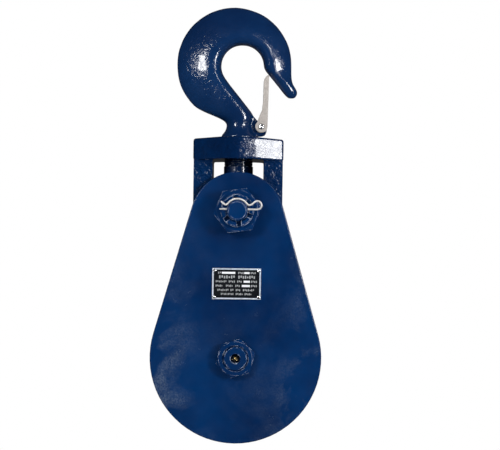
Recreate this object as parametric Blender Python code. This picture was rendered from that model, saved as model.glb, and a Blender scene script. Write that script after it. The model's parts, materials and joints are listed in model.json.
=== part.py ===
"""Double sheave block: swivel hook, forked yoke, two bronze bushed sheaves in teardrop plates.

Metres, +Z up. The origin is the saddle of the hook, on the shank axis, where the block hangs.
The nameplate side faces -Y. Load bolt and centre pin run along Y, the hook swivels about Z.
"""
from math import asin, atan2, cos, degrees, pi, radians, sin, tan

import bmesh
import bpy
from mathutils import Matrix, Vector
from mathutils.geometry import tessellate_polygon

# ---- clearances -------------------------------------------------------------------------
GAP = 0.0003            # between faces that touch, and round pieces that are pressed in
RUNNING_GAP = 0.0003    # radial, round a piece that turns

# ---- heights below the saddle -------------------------------------------------------------
BOLT_Z = -0.2662        # axis of the load bolt
BOLT_RISE = 0.2295      # load bolt above the centre pin
HEAD_TOP_Z = -0.1509    # top face of the yoke's crosshead
HEAD_HEIGHT = 0.0343
LATCH_Z = -0.1309       # latch pivot

# ---- stack across the pin, from the middle outwards ------------------------------------------
CENTRE_PLATE_T = 0.008
THRUST_T = 0.003
SHEAVE_W = 0.044
CHEEK_T = 0.010

# ---- plates ----------------------------------------------------------------------------------
CHEEK_MARGIN = 0.009    # cheek beyond the sheaves' rims
CHEEK_R_TOP = 0.0735
CHEEK_TOP_DROP = 0.0125 # centre of the cheek's upper arc below the load bolt
CENTRE_INSET = 0.002    # centre plate inside the cheeks' lower arc
CENTRE_WALL = 0.016     # centre plate round the load bolt
PLATE_EDGE = 0.0012     # chamfer round every plate

# ---- centre pin, bushes and sheaves ----------------------------------------------------------
PIN_R = 0.021
PIN_SHOULDER = 0.0025   # step down to the threaded ends
BUSH_WALL = 0.006
THRUST_WALL = 0.0087    # thrust washer beyond the bush
SHEAVE_R = 0.125
GROOVE_DEPTH = 0.0275
ROPE_R = 0.0135         # groove radius for 25 mm rope
HUB_WALL = 0.0137
HUB_FLARE = 0.004
WEB_HALF = 0.008
RIM_WALL = 0.0135       # under the tread
RIM_FLARE = 0.008
RIM_STEP = 0.001        # rim inside the hub's faces
LIP_W = 0.0045          # flat rim beside the groove
SHEAVE_EDGE = 0.001
PIN_NUT_WALL = 0.00875
PIN_NUT_H = 0.014
PIN_NUT_TURN = radians(16.8)
PIN_NUT_SINK = 0.0016   # countersink of the nut's bore
PIN_END_PROUD = 0.0035
PIN_RECESS_R = 0.0078
PIN_RECESS_DEPTH = 0.011
GREASE_BORE_R = 0.0032
GREASE_CROSS_R = 0.0022
PIN_EDGE = 0.0014

# ---- corners of nuts and bolt heads ----------------------------------------------------------
NUT_TOP_DROP = 0.003
NUT_FACE_DROP = 0.0006
NUT_FACE_OVER = 0.0001

# ---- load bolt -------------------------------------------------------------------------------
BOLT_R = 0.016
BOLT_EDGE = 0.0026
BOLT_HEAD_WALL = 0.0095
BOLT_HEAD_H = 0.020
BOLT_HEAD_TURN = radians(12)
BOLT_HEAD_WASHER_H = 0.001
TOP_NUT_WALL = 0.0165
TOP_NUT_H = 0.027
CROWN_WALL = 0.0092
CROWN_H = 0.010
CROWN_EDGE = 0.0015
CROWN_SINK = 0.002
CROWN_SLOT_W = 0.0075
CROWN_SLOT_DEPTH = 0.0085
NUT_TURN = radians(8)
BOLT_PROUD = 0.0075     # end of the bolt beyond the crown

# ---- hairpin clip ----------------------------------------------------------------------------
CLIP_R = 0.0015
CLIP_RISE = 0.002       # straight leg above the bolt's axis
CLIP_LEAN = radians(16)
CLIP_GRIP = 35          # degrees round the bolt's end where the bent leg leaves it

# ---- yoke ------------------------------------------------------------------------------------
YOKE_HALF_W = 0.0707
WINDOW_HALF_W = 0.0404
HEAD_HALF_DEPTH = 0.080     # at the ridge down the middle of the crosshead's face
HEAD_END_PROUD = 0.0009     # face beyond the legs at its ends
HEAD_RIDGE_R = 0.010        # rounding of that ridge, in plan
HEAD_ARCH = 0.003           # fall of the top towards the ends
HEAD_SEAT = 0.026           # half width of the flat seats on top and underneath
HEAD_EDGE = 0.003
FORK_TOP_RISE = 0.0345  # top of the lower bars above the load bolt
FORK_DROP = 0.0475      # bottom of the lower bars below the load bolt
FORK_CORNER_R = 0.012

# ---- hook ------------------------------------------------------------------------------------
SHANK_R = 0.0155
SHANK_EDGE = 0.0015
NECK_WALL = 0.0046      # neck beyond the shank
COLLAR_LIFT = 0.0009
# collar: height above its foot, radius beyond the neck
COLLAR = ((0.0, 0.0071), (0.0015, 0.0086), (0.0045, 0.0080), (0.0085, 0.0046), (0.0128, 0.0015))
NECK_TOP = 0.0045       # top of the round neck above the latch pivot
# shoulder: throat side beyond the neck and its rise, back beyond the neck and its rise, half thickness
SHOULDER = ((0.0016, 0.0065, 0.0047, 0.0052, 0.0213), (0.0019, 0.0160, 0.0205, 0.0118, 0.0226))
BODY_HALF_T = 0.0236    # where the straight body starts
BOWL_R = 0.034
BOWL_X = 0.0044
HOOK_R = 0.093
HOOK_X = -0.009
HOOK_Z = -0.0317
BACK_TURNS = (239.5, 197, -10)  # degrees round the back: body's start, bowl's start, bowl's end
HOOK_HALF_T = 0.025
BOWL_END_THIN = 0.0055  # what the section has lost by the bowl's end
BODY_SQUARE = 2.5       # how square the body's section is: 2 is an ellipse
HOOK_TAPER = 0.46       # how much thicker a section is at the bowl than at the back
BOWL_END = -6           # degrees, where the bowl's arc gives way to the nose
# nose: step from the bowl's end, width across to the back of the nose, half thickness
NOSE = (((0.0068, -0.0080), (0.0396, -0.0150), 0.0182), ((0.0143, -0.0173), (0.0353, -0.0107), 0.0162),
        ((0.0226, -0.0277), (0.0304, -0.0056), 0.0138), ((0.0308, -0.0377), (0.0238, -0.0004), 0.0112),
        ((0.0363, -0.0437), (0.0170, 0.0009), 0.0084), ((0.0403, -0.0467), (0.0093, 0.0), 0.0046))
HOOK_SIDES = 24
HOOK_NUT_WALL = 0.0078
HOOK_NUT_H = 0.024
HOOK_NUT_EDGE = 0.0015
HOOK_WASHER_T = 0.004
HOOK_WASHER_WALL = 0.007
NUT_PIN_R = 0.003
SHANK_END = 0.004       # shank below the nut

# ---- latch -----------------------------------------------------------------------------------
LUG_HALF_T = 0.0075
LUG_R = 0.0093
LUG_FOOT = 0.0035       # lug above the collar's foot
LUG_RISE = 0.0225       # where the lug runs out up the throat
FLANGE_IN = 0.0118      # inner face of each latch flange, from the middle
LATCH_T = 0.0025
LATCH_BOSS_R = 0.0098
LATCH_NECK_GAP = 0.0058 # boss to neck
LATCH_REACH = 0.35      # where the latch meets the nose, as a share of its first stretch
LATCH_WEB_START = 0.014
LATCH_PIN_R = 0.0032
LATCH_HEAD_R = 0.0047
LATCH_HEAD_H = 0.0022
SPRING_WIRE_R = 0.0008
SPRING_COIL_R = 0.0052
SPRING_TURNS = 1.25
SPRING_STEPS = 8        # points to a turn

# ---- nameplate -------------------------------------------------------------------------------
PLATE_W = 0.076
PLATE_H = 0.0485
PLATE_T = 0.0012
PLATE_RISE = 0.1155     # middle of the nameplate above the centre pin
RIVET_R = 0.0013
RIVET_HEAD_R = 0.0027
RIVET_DEPTH = 0.006
RIVET_HEAD_H = 0.0015
RIVET_INSET = 0.0036
PLATE_CORNER_R = 0.0015

# ---- worked out --------------------------------------------------------------------------------
PIN_Z = BOLT_Z - BOLT_RISE
CHEEK_R_LOW = SHEAVE_R + CHEEK_MARGIN
CHEEK_TOP_RISE = BOLT_RISE - CHEEK_TOP_DROP
CENTRE_R_LOW = CHEEK_R_LOW - CENTRE_INSET
CENTRE_R_TOP = BOLT_R + CENTRE_WALL
CHEEK_IN = CENTRE_PLATE_T / 2 + 4 * GAP + 2 * THRUST_T + SHEAVE_W
CHEEK_OUT = CHEEK_IN + CHEEK_T
SHEAVE_MID = CENTRE_PLATE_T / 2 + 2 * GAP + THRUST_T + SHEAVE_W / 2
HEAD_LOW_Z = HEAD_TOP_Z - HEAD_HEIGHT
YOKE_HALF_DEPTH = CHEEK_IN - 2 * GAP
BUSH_R = PIN_R + RUNNING_GAP + BUSH_WALL
THRUST_R = BUSH_R + THRUST_WALL
HUB_R = BUSH_R + HUB_WALL
TREAD_R = SHEAVE_R - GROOVE_DEPTH
RIM_UNDER_R = TREAD_R - RIM_WALL
PIN_THREAD_R = PIN_R - PIN_SHOULDER
PIN_NUT_FLATS = 2 * (PIN_THREAD_R + PIN_NUT_WALL)
PIN_END_Y = CHEEK_OUT + GAP + PIN_NUT_H + PIN_END_PROUD
BOLT_END_R = BOLT_R - BOLT_EDGE
BOLT_HEAD_FLATS = 2 * (BOLT_R + BOLT_HEAD_WALL)
TOP_NUT_FLATS = 2 * (BOLT_R + TOP_NUT_WALL)
CROWN_R = BOLT_R + CROWN_WALL
TOP_NUT_FRONT = CHEEK_OUT + GAP + TOP_NUT_H + CROWN_H
BOLT_END_Y = TOP_NUT_FRONT + BOLT_PROUD
CLIP_Y = TOP_NUT_FRONT + GAP + CLIP_R
WASHER_TOP_Z = HEAD_LOW_Z - GAP
NUT_TOP_Z = WASHER_TOP_Z - 2 * HOOK_WASHER_T - 2 * GAP
NUT_LOW_Z = NUT_TOP_Z - HOOK_NUT_H
HEAD_END_HALF_DEPTH = YOKE_HALF_DEPTH + HEAD_END_PROUD
NECK_R = SHANK_R + NECK_WALL
HOOK_NUT_R = SHANK_R + HOOK_NUT_WALL
HOOK_WASHER_R = SHANK_R + HOOK_WASHER_WALL
LATCH_X = NECK_R + LATCH_NECK_GAP + LATCH_BOSS_R
CHAMFER_SLOPE = tan(radians(25))    # corners of nuts and bolt heads
FAR = 0.05                          # cutters run this far past the piece
TOLERANCE = 1e-7


# ---- helpers ---------------------------------------------------------------------------------
def clear_scene():
    for old in list(bpy.data.objects):
        bpy.data.objects.remove(old, do_unlink=True)


def finish_material(name, colour, roughness, metallic):
    surface = bpy.data.materials.new(name)
    surface.use_nodes = True
    shader = surface.node_tree.nodes["Principled BSDF"]
    shader.inputs["Base Color"].default_value = (*colour, 1.0)
    shader.inputs["Roughness"].default_value = roughness
    shader.inputs["Metallic"].default_value = metallic
    surface.diffuse_color = (*colour, 1.0)
    return surface


PAINT = ((0.010, 0.035, 0.095), 0.35, 0.0)
STEEL = ((0.55, 0.55, 0.56), 0.35, 1.0)
ZINC = ((0.62, 0.60, 0.57), 0.45, 1.0)
BRONZE = ((0.55, 0.36, 0.14), 0.35, 1.0)
BLACK_PLATE = ((0.03, 0.03, 0.035), 0.4, 0.0)


def add_object(name, bm, look, location=(0, 0, 0), smooth=radians(35)):
    """Turn a bmesh into a named object with its own material, at its joint's axis."""
    bmesh.ops.remove_doubles(bm, verts=bm.verts, dist=TOLERANCE)
    bmesh.ops.recalc_face_normals(bm, faces=bm.faces)
    mesh = bpy.data.meshes.new(name)
    bm.to_mesh(mesh)
    bm.free()
    mesh.shade_smooth()
    mesh.set_sharp_from_angle(angle=smooth)
    mesh.materials.append(finish_material(name, *look))
    item = bpy.data.objects.new(name, mesh)
    item.location = location
    bpy.context.scene.collection.objects.link(item)
    return item


def add_cutter(name, bm, location=(0, 0, 0)):
    cutter = add_object(name, bm, PAINT, location)
    cutter.display_type = "WIRE"
    cutter.hide_render = True
    return cutter


def boolean(item, tool, operation="DIFFERENCE"):
    step = item.modifiers.new(tool.name, "BOOLEAN")
    step.operation = operation
    step.object = tool
    step.solver = "EXACT"


def loft(rings, bm=None):
    """Skin a row of rings that have the same number of points, and cap both ends."""
    bm = bm or bmesh.new()
    rows = [[bm.verts.new(point) for point in ring] for ring in rings]
    count = len(rings[0])
    for low, high in zip(rows, rows[1:]):
        for i in range(count):
            j = (i + 1) % count
            bm.faces.new((low[i], low[j], high[j], high[i]))
    bm.faces.new(list(reversed(rows[0])))
    bm.faces.new(rows[-1])
    return bm


def pierced(outer_rings, hole_rings):
    """Skin a plate from its outer rings and its holes' rings; caps are cut round the holes."""
    bm = bmesh.new()
    loops = [outer_rings] + list(hole_rings)
    ends = [[], []]
    for rings in loops:
        rows = [[bm.verts.new(point) for point in ring] for ring in rings]
        count = len(rows[0])
        for low, high in zip(rows, rows[1:]):
            for i in range(count):
                j = (i + 1) % count
                bm.faces.new((low[i], low[j], high[j], high[i]))
        ends[0].append(rows[0])
        ends[1].append(rows[-1])
    for loops_here in ends:
        flat = [vert for loop in loops_here for vert in loop]
        for corners in tessellate_polygon([[vert.co for vert in loop] for loop in loops_here]):
            bm.faces.new([flat[i] for i in corners])
    return bm


def turned(profile, segments, closed):
    """Spin a profile of (radius, distance along Y) about Y. A closed profile leaves a bore."""
    bm = bmesh.new()
    verts = [bm.verts.new((radius, along, 0)) for radius, along in profile]
    pairs = list(zip(verts, verts[1:]))
    if closed:
        pairs.append((verts[-1], verts[0]))
    edges = [bm.edges.new(pair) for pair in pairs]
    bmesh.ops.spin(bm, geom=verts + edges, cent=(0, 0, 0), axis=(0, 1, 0), angle=2 * pi,
                   steps=segments, use_merge=True)
    bmesh.ops.remove_doubles(bm, verts=bm.verts, dist=TOLERANCE)
    bmesh.ops.dissolve_degenerate(bm, edges=bm.edges, dist=TOLERANCE)
    return bm


def upright(bm):
    """Turn a piece made about Y so that its axis is Z, with +Y becoming +Z."""
    bmesh.ops.rotate(bm, verts=bm.verts, matrix=Matrix.Rotation(pi / 2, 3, "X"))
    return bm


def washer(inner, outer, low, high, segments=28):
    return turned([(inner, low), (outer, low), (outer, high), (inner, high)], segments, True)


def rod(radius, low, high, segments=24):
    return turned([(0, low), (radius, low), (radius, high), (0, high)], segments, False)


def arc(centre, radius, start, end, steps):
    return [(centre[0] + radius * cos(radians(start + (end - start) * i / steps)),
             centre[1] + radius * sin(radians(start + (end - start) * i / steps)))
            for i in range(steps + 1)]


def circle(centre, radius, steps):
    return arc(centre, radius, 0, 360, steps)[:-1]


def lift(outline, along):
    """Place an outline of (x, z) points in the plane y = along."""
    return [(x, along, z) for x, z in outline]


def hexagon(flats, turn, sides=6):
    radius = flats / 2 / cos(pi / sides)
    return [(radius * cos(turn + 2 * pi * i / sides), radius * sin(turn + 2 * pi * i / sides))
            for i in range(sides)]


def teardrop(low_r, top_r, top_rise, low_steps=44, top_steps=22):
    """Outline of two arcs joined by straight tangents, the lower arc about (0, 0)."""
    lean = degrees(asin((low_r - top_r) / top_rise))
    return (arc((0, top_rise), top_r, lean, 180 - lean, top_steps)
            + arc((0, 0), low_r, 180 - lean, 360 + lean, low_steps))


def smooth_path(points, steps):
    """Points read from a Catmull-Rom curve through the given points."""
    ends = [points[0] * 2 - points[1]] + list(points) + [points[-1] * 2 - points[-2]]
    path = []
    for a, b, c, d in zip(ends, ends[1:], ends[2:], ends[3:]):
        for i in range(steps):
            t = i / steps
            path.append(0.5 * (2 * b + (c - a) * t + (2 * a - 5 * b + 4 * c - d) * t ** 2
                               + (3 * b - a - 3 * c + d) * t ** 3))
    return path + [points[-1]]


def wire(name, points, radius, look, location=(0, 0, 0), resolution=1):
    """A round wire along the given points."""
    path = bpy.data.curves.new(name, "CURVE")
    path.dimensions = "3D"
    path.bevel_depth = radius
    path.bevel_resolution = resolution
    path.use_fill_caps = True
    spline = path.splines.new("POLY")
    spline.points.add(len(points) - 1)
    for knot, point in zip(spline.points, points):
        knot.co = (*point, 1)
    path.materials.append(finish_material(name, *look))
    item = bpy.data.objects.new(name, path)
    item.location = location
    bpy.context.scene.collection.objects.link(item)
    return item


# ---- hook --------------------------------------------------------------------------------------
def nose_places():
    """Points on the bowl's side and the back of each section of the nose."""
    end = arc((BOWL_X, -BOWL_R), BOWL_R, BOWL_END, 0, 1)[0]
    places = []
    for (step_x, step_z), (wide_x, wide_z), _ in NOSE:
        inner = (end[0] + step_x, end[1] + step_z)
        places.append((inner, (inner[0] + wide_x, inner[1] + wide_z)))
    return places


def latch_tip():
    """Where the back of the closed latch touches the nose, with its gap, from the pivot."""
    (first, _), (second, _) = nose_places()[:2]
    x, z = (a + (b - a) * LATCH_REACH for a, b in zip(first, second))
    return x - 2 * GAP - LATCH_X, z - LATCH_Z


def shares(steps):
    return [i / steps for i in range(1, steps + 1)]


def hook_rings():
    """Cross-sections from the foot of the shank to the nose of the hook.

    Each station holds a point on the bowl's side, a point on the back, half the thickness
    and how square the section is: 2 is an ellipse.
    """
    foot_z = NUT_LOW_Z - SHANK_END
    collar_z = HEAD_TOP_Z + COLLAR_LIFT
    neck_top_z = LATCH_Z + NECK_TOP
    turned_part = [(foot_z, SHANK_R - SHANK_EDGE), (foot_z + SHANK_EDGE, SHANK_R), (collar_z, SHANK_R)]
    turned_part += [(collar_z + rise, NECK_R + wide) for rise, wide in COLLAR]
    turned_part += [(LATCH_Z, NECK_R), (neck_top_z, NECK_R)]
    stations = [((radius, z), (-radius, z), radius, 2.0) for z, radius in turned_part]
    for throat, throat_rise, back_out, back_rise, half_t in SHOULDER:
        stations.append(((NECK_R + throat, neck_top_z + throat_rise),
                         (-NECK_R - back_out, neck_top_z + back_rise), half_t, 2.15))

    bowl = (BOWL_X, -BOWL_R)
    back = (HOOK_X, HOOK_Z)
    throat_low = stations[-1][0]
    dx, dz = bowl[0] - throat_low[0], bowl[1] - throat_low[1]
    reach = (dx * dx + dz * dz) ** 0.5
    touch = degrees(atan2(dz, dx)) + 90 + degrees(asin(BOWL_R / reach))
    tangent = arc(bowl, BOWL_R, touch, touch, 1)[0]
    start_turn, bowl_turn, end_turn = BACK_TURNS
    for t in shares(5):
        inner = tuple(a + (b - a) * t for a, b in zip(throat_low, tangent))
        outer = arc(back, HOOK_R, start_turn + (bowl_turn - start_turn) * t, 0, 1)[0]
        stations.append((inner, outer, BODY_HALF_T + (HOOK_HALF_T - BODY_HALF_T) * t, BODY_SQUARE))
    for t in shares(13):
        inner = arc(bowl, BOWL_R, touch + (BOWL_END - touch) * t, 0, 1)[0]
        outer = arc(back, HOOK_R, bowl_turn + (end_turn - bowl_turn) * t, 0, 1)[0]
        stations.append((inner, outer, HOOK_HALF_T - BOWL_END_THIN * t ** 3, BODY_SQUARE))
    for (inner, outer), (_, _, half_t) in zip(nose_places(), NOSE):
        stations.append((inner, outer, half_t, 2.1))

    rings = []
    for inner, outer, half_t, power in stations:
        middle = Vector(((inner[0] + outer[0]) / 2, 0, (inner[1] + outer[1]) / 2))
        across = Vector(((inner[0] - outer[0]) / 2, 0, (inner[1] - outer[1]) / 2))
        taper = HOOK_TAPER * (power - 2) / (BODY_SQUARE - 2)
        ring = []
        for i in range(HOOK_SIDES):
            c, s = cos(2 * pi * i / HOOK_SIDES), sin(2 * pi * i / HOOK_SIDES)
            u = abs(c) ** (2 / power) * (1 if c >= 0 else -1)
            v = abs(s) ** (2 / power) * (1 if s >= 0 else -1)
            thick = half_t * v * (1 + taper * (u - 0.3))
            ring.append(middle + across * u + Vector((0, thick, 0)))
        rings.append(ring)
    return rings


def build_hook():
    hook = add_object("hook", loft(hook_rings()), PAINT)
    low = HEAD_TOP_Z + COLLAR_LIFT + LUG_FOOT
    root = NECK_R * 0.2
    outline = ([(root, LATCH_Z + LUG_RISE), (NECK_R * 0.85, LATCH_Z + LUG_RISE)]
               + arc((LATCH_X, LATCH_Z), LUG_R, 120, 10, 10)
               + [(LATCH_X + LUG_R - 0.0008, low), (root, low)])
    lug = add_cutter("lug_shape", loft([lift(outline, -LUG_HALF_T), lift(outline, LUG_HALF_T)]))
    boolean(hook, lug, "UNION")
    hole_r = LATCH_PIN_R + RUNNING_GAP
    hole = rod(hole_r, -FAR, FAR, 20)
    boolean(hook, add_cutter("lug_hole", hole, (LATCH_X, 0, LATCH_Z)))
    cross = rod(NUT_PIN_R + GAP, -FAR, FAR, 16)
    boolean(hook, add_cutter("shank_pin_hole", cross, (0, 0, NUT_LOW_Z + HOOK_NUT_H / 2)))


def build_hook_hardware():
    bore = SHANK_R + GAP
    low = WASHER_TOP_Z
    for name, look in (("hook_thrust_washer", STEEL), ("hook_bronze_washer", BRONZE)):
        ring = upright(washer(bore, HOOK_WASHER_R, 0, HOOK_WASHER_T, 32))
        add_object(name, ring, look, (0, 0, low - HOOK_WASHER_T))
        low -= HOOK_WASHER_T + GAP
    edge = HOOK_NUT_EDGE
    profile = [(bore, 0), (HOOK_NUT_R - edge, 0), (HOOK_NUT_R, edge), (HOOK_NUT_R, HOOK_NUT_H - edge),
               (HOOK_NUT_R - edge, HOOK_NUT_H), (bore, HOOK_NUT_H)]
    nut = add_object("hook_nut", upright(turned(profile, 32, True)), PAINT, (0, 0, NUT_LOW_Z))
    middle = NUT_LOW_Z + HOOK_NUT_H / 2
    cross = rod(NUT_PIN_R + GAP, -FAR, FAR, 16)
    boolean(nut, add_cutter("nut_pin_hole", cross, (0, 0, middle)))
    add_object("hook_nut_pin", rod(NUT_PIN_R, -HOOK_NUT_R + 0.001, HOOK_NUT_R - 0.001, 16), STEEL,
               (0, 0, middle))


# ---- latch ---------------------------------------------------------------------------------------
def latch_outline():
    """Side view of the latch about its pivot, up its back, over the top and round the boss."""
    back, tall = latch_tip()
    body = [(back, tall - 0.001), (back - 0.0023, tall), (back - 0.0063, tall - 0.0035),
            (back - 0.0085, tall - 0.009), (back - 0.0092, tall / 2), (back - 0.0109, tall / 3.2),
            (back - 0.0143, tall / 4.6)]
    return body + arc((0, 0), LATCH_BOSS_R, 135, 360, 18)


def build_latch():
    pivot = (LATCH_X, 0, LATCH_Z)
    outer = FLANGE_IN + LATCH_T
    outline = latch_outline()
    latch = add_object("latch", loft([lift(outline, -outer), lift(outline, outer)]), ZINC, pivot)
    back, tall = latch_tip()
    web_low = LATCH_BOSS_R - LATCH_T
    web_top = web_low + 2 * (back - LATCH_BOSS_R)
    reach = 2 * tall
    inside = [(web_top, reach), (-reach, reach), (-reach, -reach), (reach, -reach),
              (reach, LATCH_WEB_START), (web_low, LATCH_WEB_START)]
    boolean(latch, add_cutter("latch_channel", loft([lift(inside, -FLANGE_IN), lift(inside, FLANGE_IN)]),
                              pivot))
    hole = rod(LATCH_PIN_R + RUNNING_GAP, -FAR, FAR, 20)
    boolean(latch, add_cutter("latch_hole", hole, pivot))

    face = outer + GAP
    head = LATCH_HEAD_H
    profile = [(0, -face - head), (LATCH_HEAD_R * 0.72, -face - head),
               (LATCH_HEAD_R, -face - head * 0.5), (LATCH_HEAD_R, -face), (LATCH_PIN_R, -face),
               (LATCH_PIN_R, face), (LATCH_HEAD_R, face), (LATCH_HEAD_R, face + head * 0.5),
               (LATCH_HEAD_R * 0.72, face + head), (0, face + head)]
    add_object("latch_pin", turned(profile, 20, False), ZINC, pivot)
    build_latch_spring(pivot)


def build_latch_spring(pivot):
    """One wire: a coil on each side of the lug, joined by a bow that pushes the web shut."""
    first = LUG_HALF_T + GAP + SPRING_WIRE_R
    pitch = 2 * SPRING_WIRE_R + GAP
    count = int(SPRING_TURNS * SPRING_STEPS)
    bow_x = LATCH_BOSS_R - LATCH_T - SPRING_WIRE_R - 2 * GAP
    half = []
    for i in range(count + 1):
        angle = radians(180) - 2 * pi * SPRING_TURNS * i / count
        half.append(Vector((SPRING_COIL_R * cos(angle), first + pitch * i / SPRING_STEPS,
                            SPRING_COIL_R * sin(angle))))
    side = half[-1].y
    half = [Vector((-SPRING_COIL_R - 0.0001, first, -0.007))] + half
    half += [Vector((bow_x - 0.0008, side, 0.013)), Vector((bow_x, side, 0.024)),
             Vector((bow_x, side - 0.0015, 0.0262)), Vector((bow_x, 0.002, 0.0265))]
    other = [Vector((point.x, -point.y, point.z)) for point in reversed(half)]
    wire("latch_spring", half + other, SPRING_WIRE_R, STEEL, pivot)


# ---- yoke ------------------------------------------------------------------------------------------
def head_section(x, inset):
    """Section of the crosshead across Y and Z, its corners rounded."""
    span = (YOKE_HALF_W ** 2 + HEAD_RIDGE_R ** 2) ** 0.5 - HEAD_RIDGE_R
    fall = ((x ** 2 + HEAD_RIDGE_R ** 2) ** 0.5 - HEAD_RIDGE_R) / span
    away = max(0.0, abs(x) - HEAD_SEAT) / (YOKE_HALF_W - HEAD_SEAT)
    half = HEAD_HALF_DEPTH - (HEAD_HALF_DEPTH - HEAD_END_HALF_DEPTH) * fall - inset
    top = HEAD_TOP_Z - HEAD_ARCH * away - inset
    low = HEAD_LOW_Z - 0.8 * HEAD_ARCH * away + inset
    edge = HEAD_EDGE
    corners = (arc((half - edge, top - edge), edge, 0, 90, 3)
               + arc((-half + edge, top - edge), edge, 90, 180, 3)
               + arc((-half + edge, low + edge), edge, 180, 270, 3)
               + arc((half - edge, low + edge), edge, 270, 360, 3))
    return [(x, y, z) for y, z in corners]


def build_yoke():
    half_w, edge = YOKE_HALF_W, HEAD_EDGE
    half_stations = [(half_w, edge), (half_w - 0.3 * edge, 0.3 * edge), (half_w - edge, 0.0),
                     (0.75 * half_w, 0.0), (0.55 * half_w, 0.0), (HEAD_SEAT, 0.0), (0.2 * half_w, 0.0),
                     (0.09 * half_w, 0.0)]
    stations = [(-x, inset) for x, inset in half_stations] + [(0.0, 0.0)] + half_stations[::-1]
    yoke = add_object("yoke", loft([head_section(x, inset) for x, inset in stations]), PAINT)

    low = BOLT_Z - FORK_DROP
    high = HEAD_LOW_Z + HEAD_HEIGHT * 0.45
    bar_top = BOLT_Z + FORK_TOP_RISE
    corner = FORK_CORNER_R
    side = YOKE_HALF_W - 0.0008
    frame = ([(side, high), (-side, high)] + arc((-side + corner, low + corner), corner, 180, 270, 5)
             + arc((side - corner, low + corner), corner, 270, 360, 5))
    nook = 0.004
    half = WINDOW_HALF_W - nook
    window = (arc((half, HEAD_LOW_Z - nook), nook, 0, 90, 3)
              + arc((-half, HEAD_LOW_Z - nook), nook, 90, 180, 3)
              + arc((-half, bar_top + nook), nook, 180, 270, 3)
              + arc((half, bar_top + nook), nook, 270, 360, 3))
    depth = YOKE_HALF_DEPTH
    legs = pierced([lift(frame, -depth), lift(frame, depth)],
                   [[lift(window, -depth), lift(window, depth)]])
    boolean(yoke, add_cutter("yoke_legs", legs), "UNION")

    slot = CENTRE_PLATE_T / 2 + 3 * GAP
    reach = 2 * YOKE_HALF_W
    gap = [(-reach, low - reach), (reach, low - reach), (reach, bar_top + 0.002), (-reach, bar_top + 0.002)]
    boolean(yoke, add_cutter("plate_slot", loft([lift(gap, -slot), lift(gap, slot)])))
    bolt_hole = rod(BOLT_R + RUNNING_GAP, -2 * depth, 2 * depth, 36)
    boolean(yoke, add_cutter("yoke_bolt_hole", bolt_hole, (0, 0, BOLT_Z)))
    shank_hole = upright(rod(SHANK_R + 2 * RUNNING_GAP, -HEAD_HEIGHT, HEAD_HEIGHT, HOOK_SIDES))
    boolean(yoke, add_cutter("shank_hole", shank_hole, (0, 0, HEAD_TOP_Z - HEAD_HEIGHT / 2)))


# ---- plates ------------------------------------------------------------------------------------------
def plate_rings(low_r, top_r, top_rise, inner_y, outer_y):
    """Rings of a teardrop plate about the centre pin, with a chamfer on both edges."""
    step = PLATE_EDGE if outer_y > inner_y else -PLATE_EDGE
    full = teardrop(low_r, top_r, top_rise)
    small = teardrop(low_r - PLATE_EDGE, top_r - PLATE_EDGE, top_rise)
    return [lift(small, inner_y), lift(full, inner_y + step), lift(full, outer_y - step),
            lift(small, outer_y)]


def hole_rings(centre, radius, inner_y, outer_y, steps):
    ring = circle(centre, radius, steps)
    return [lift(ring, inner_y), lift(ring, outer_y)]


def rivet_places():
    across = PLATE_W / 2 - RIVET_INSET
    up = PLATE_H / 2 - RIVET_INSET
    return [(-across, PLATE_RISE + up), (across, PLATE_RISE + up),
            (-across, PLATE_RISE - up), (across, PLATE_RISE - up)]


def build_plates():
    for name, side in (("front_cheek", -1), ("rear_cheek", 1)):
        inner, outer = side * CHEEK_IN, side * CHEEK_OUT
        holes = [hole_rings((0, 0), PIN_THREAD_R + GAP, inner, outer, 36),
                 hole_rings((0, BOLT_RISE), BOLT_R + GAP, inner, outer, 36)]
        if side < 0:
            holes += [hole_rings(place, RIVET_R + GAP, inner, outer, 10) for place in rivet_places()]
        rings = plate_rings(CHEEK_R_LOW, CHEEK_R_TOP, CHEEK_TOP_RISE, inner, outer)
        add_object(name, pierced(rings, holes), PAINT, (0, 0, PIN_Z))
    half = CENTRE_PLATE_T / 2
    holes = [hole_rings((0, 0), PIN_R + GAP, -half, half, 36),
             hole_rings((0, BOLT_RISE), BOLT_R + GAP, -half, half, 36)]
    rings = plate_rings(CENTRE_R_LOW, CENTRE_R_TOP, BOLT_RISE, -half, half)
    add_object("centre_plate", pierced(rings, holes), PAINT, (0, 0, PIN_Z))


# ---- sheaves, bushes and thrust washers --------------------------------------------------------------
def sheave_profile():
    """Half section of a sheave: bore, hub, web, rim and a round rope groove."""
    half = SHEAVE_W / 2
    rim = half - RIM_STEP
    edge = SHEAVE_EDGE
    bore = BUSH_R + GAP
    side = [(bore, -half), (HUB_R, -half), (HUB_R + HUB_FLARE, -WEB_HALF), (RIM_UNDER_R, -WEB_HALF),
            (RIM_UNDER_R + RIM_FLARE, -rim), (SHEAVE_R - edge, -rim), (SHEAVE_R, -rim + edge),
            (SHEAVE_R, -rim + LIP_W)]
    groove = arc((TREAD_R + ROPE_R, 0), ROPE_R, 115, 245, 6)
    return side + [(x, -y) for x, y in groove] + [(x, -y) for x, y in reversed(side)]


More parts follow.
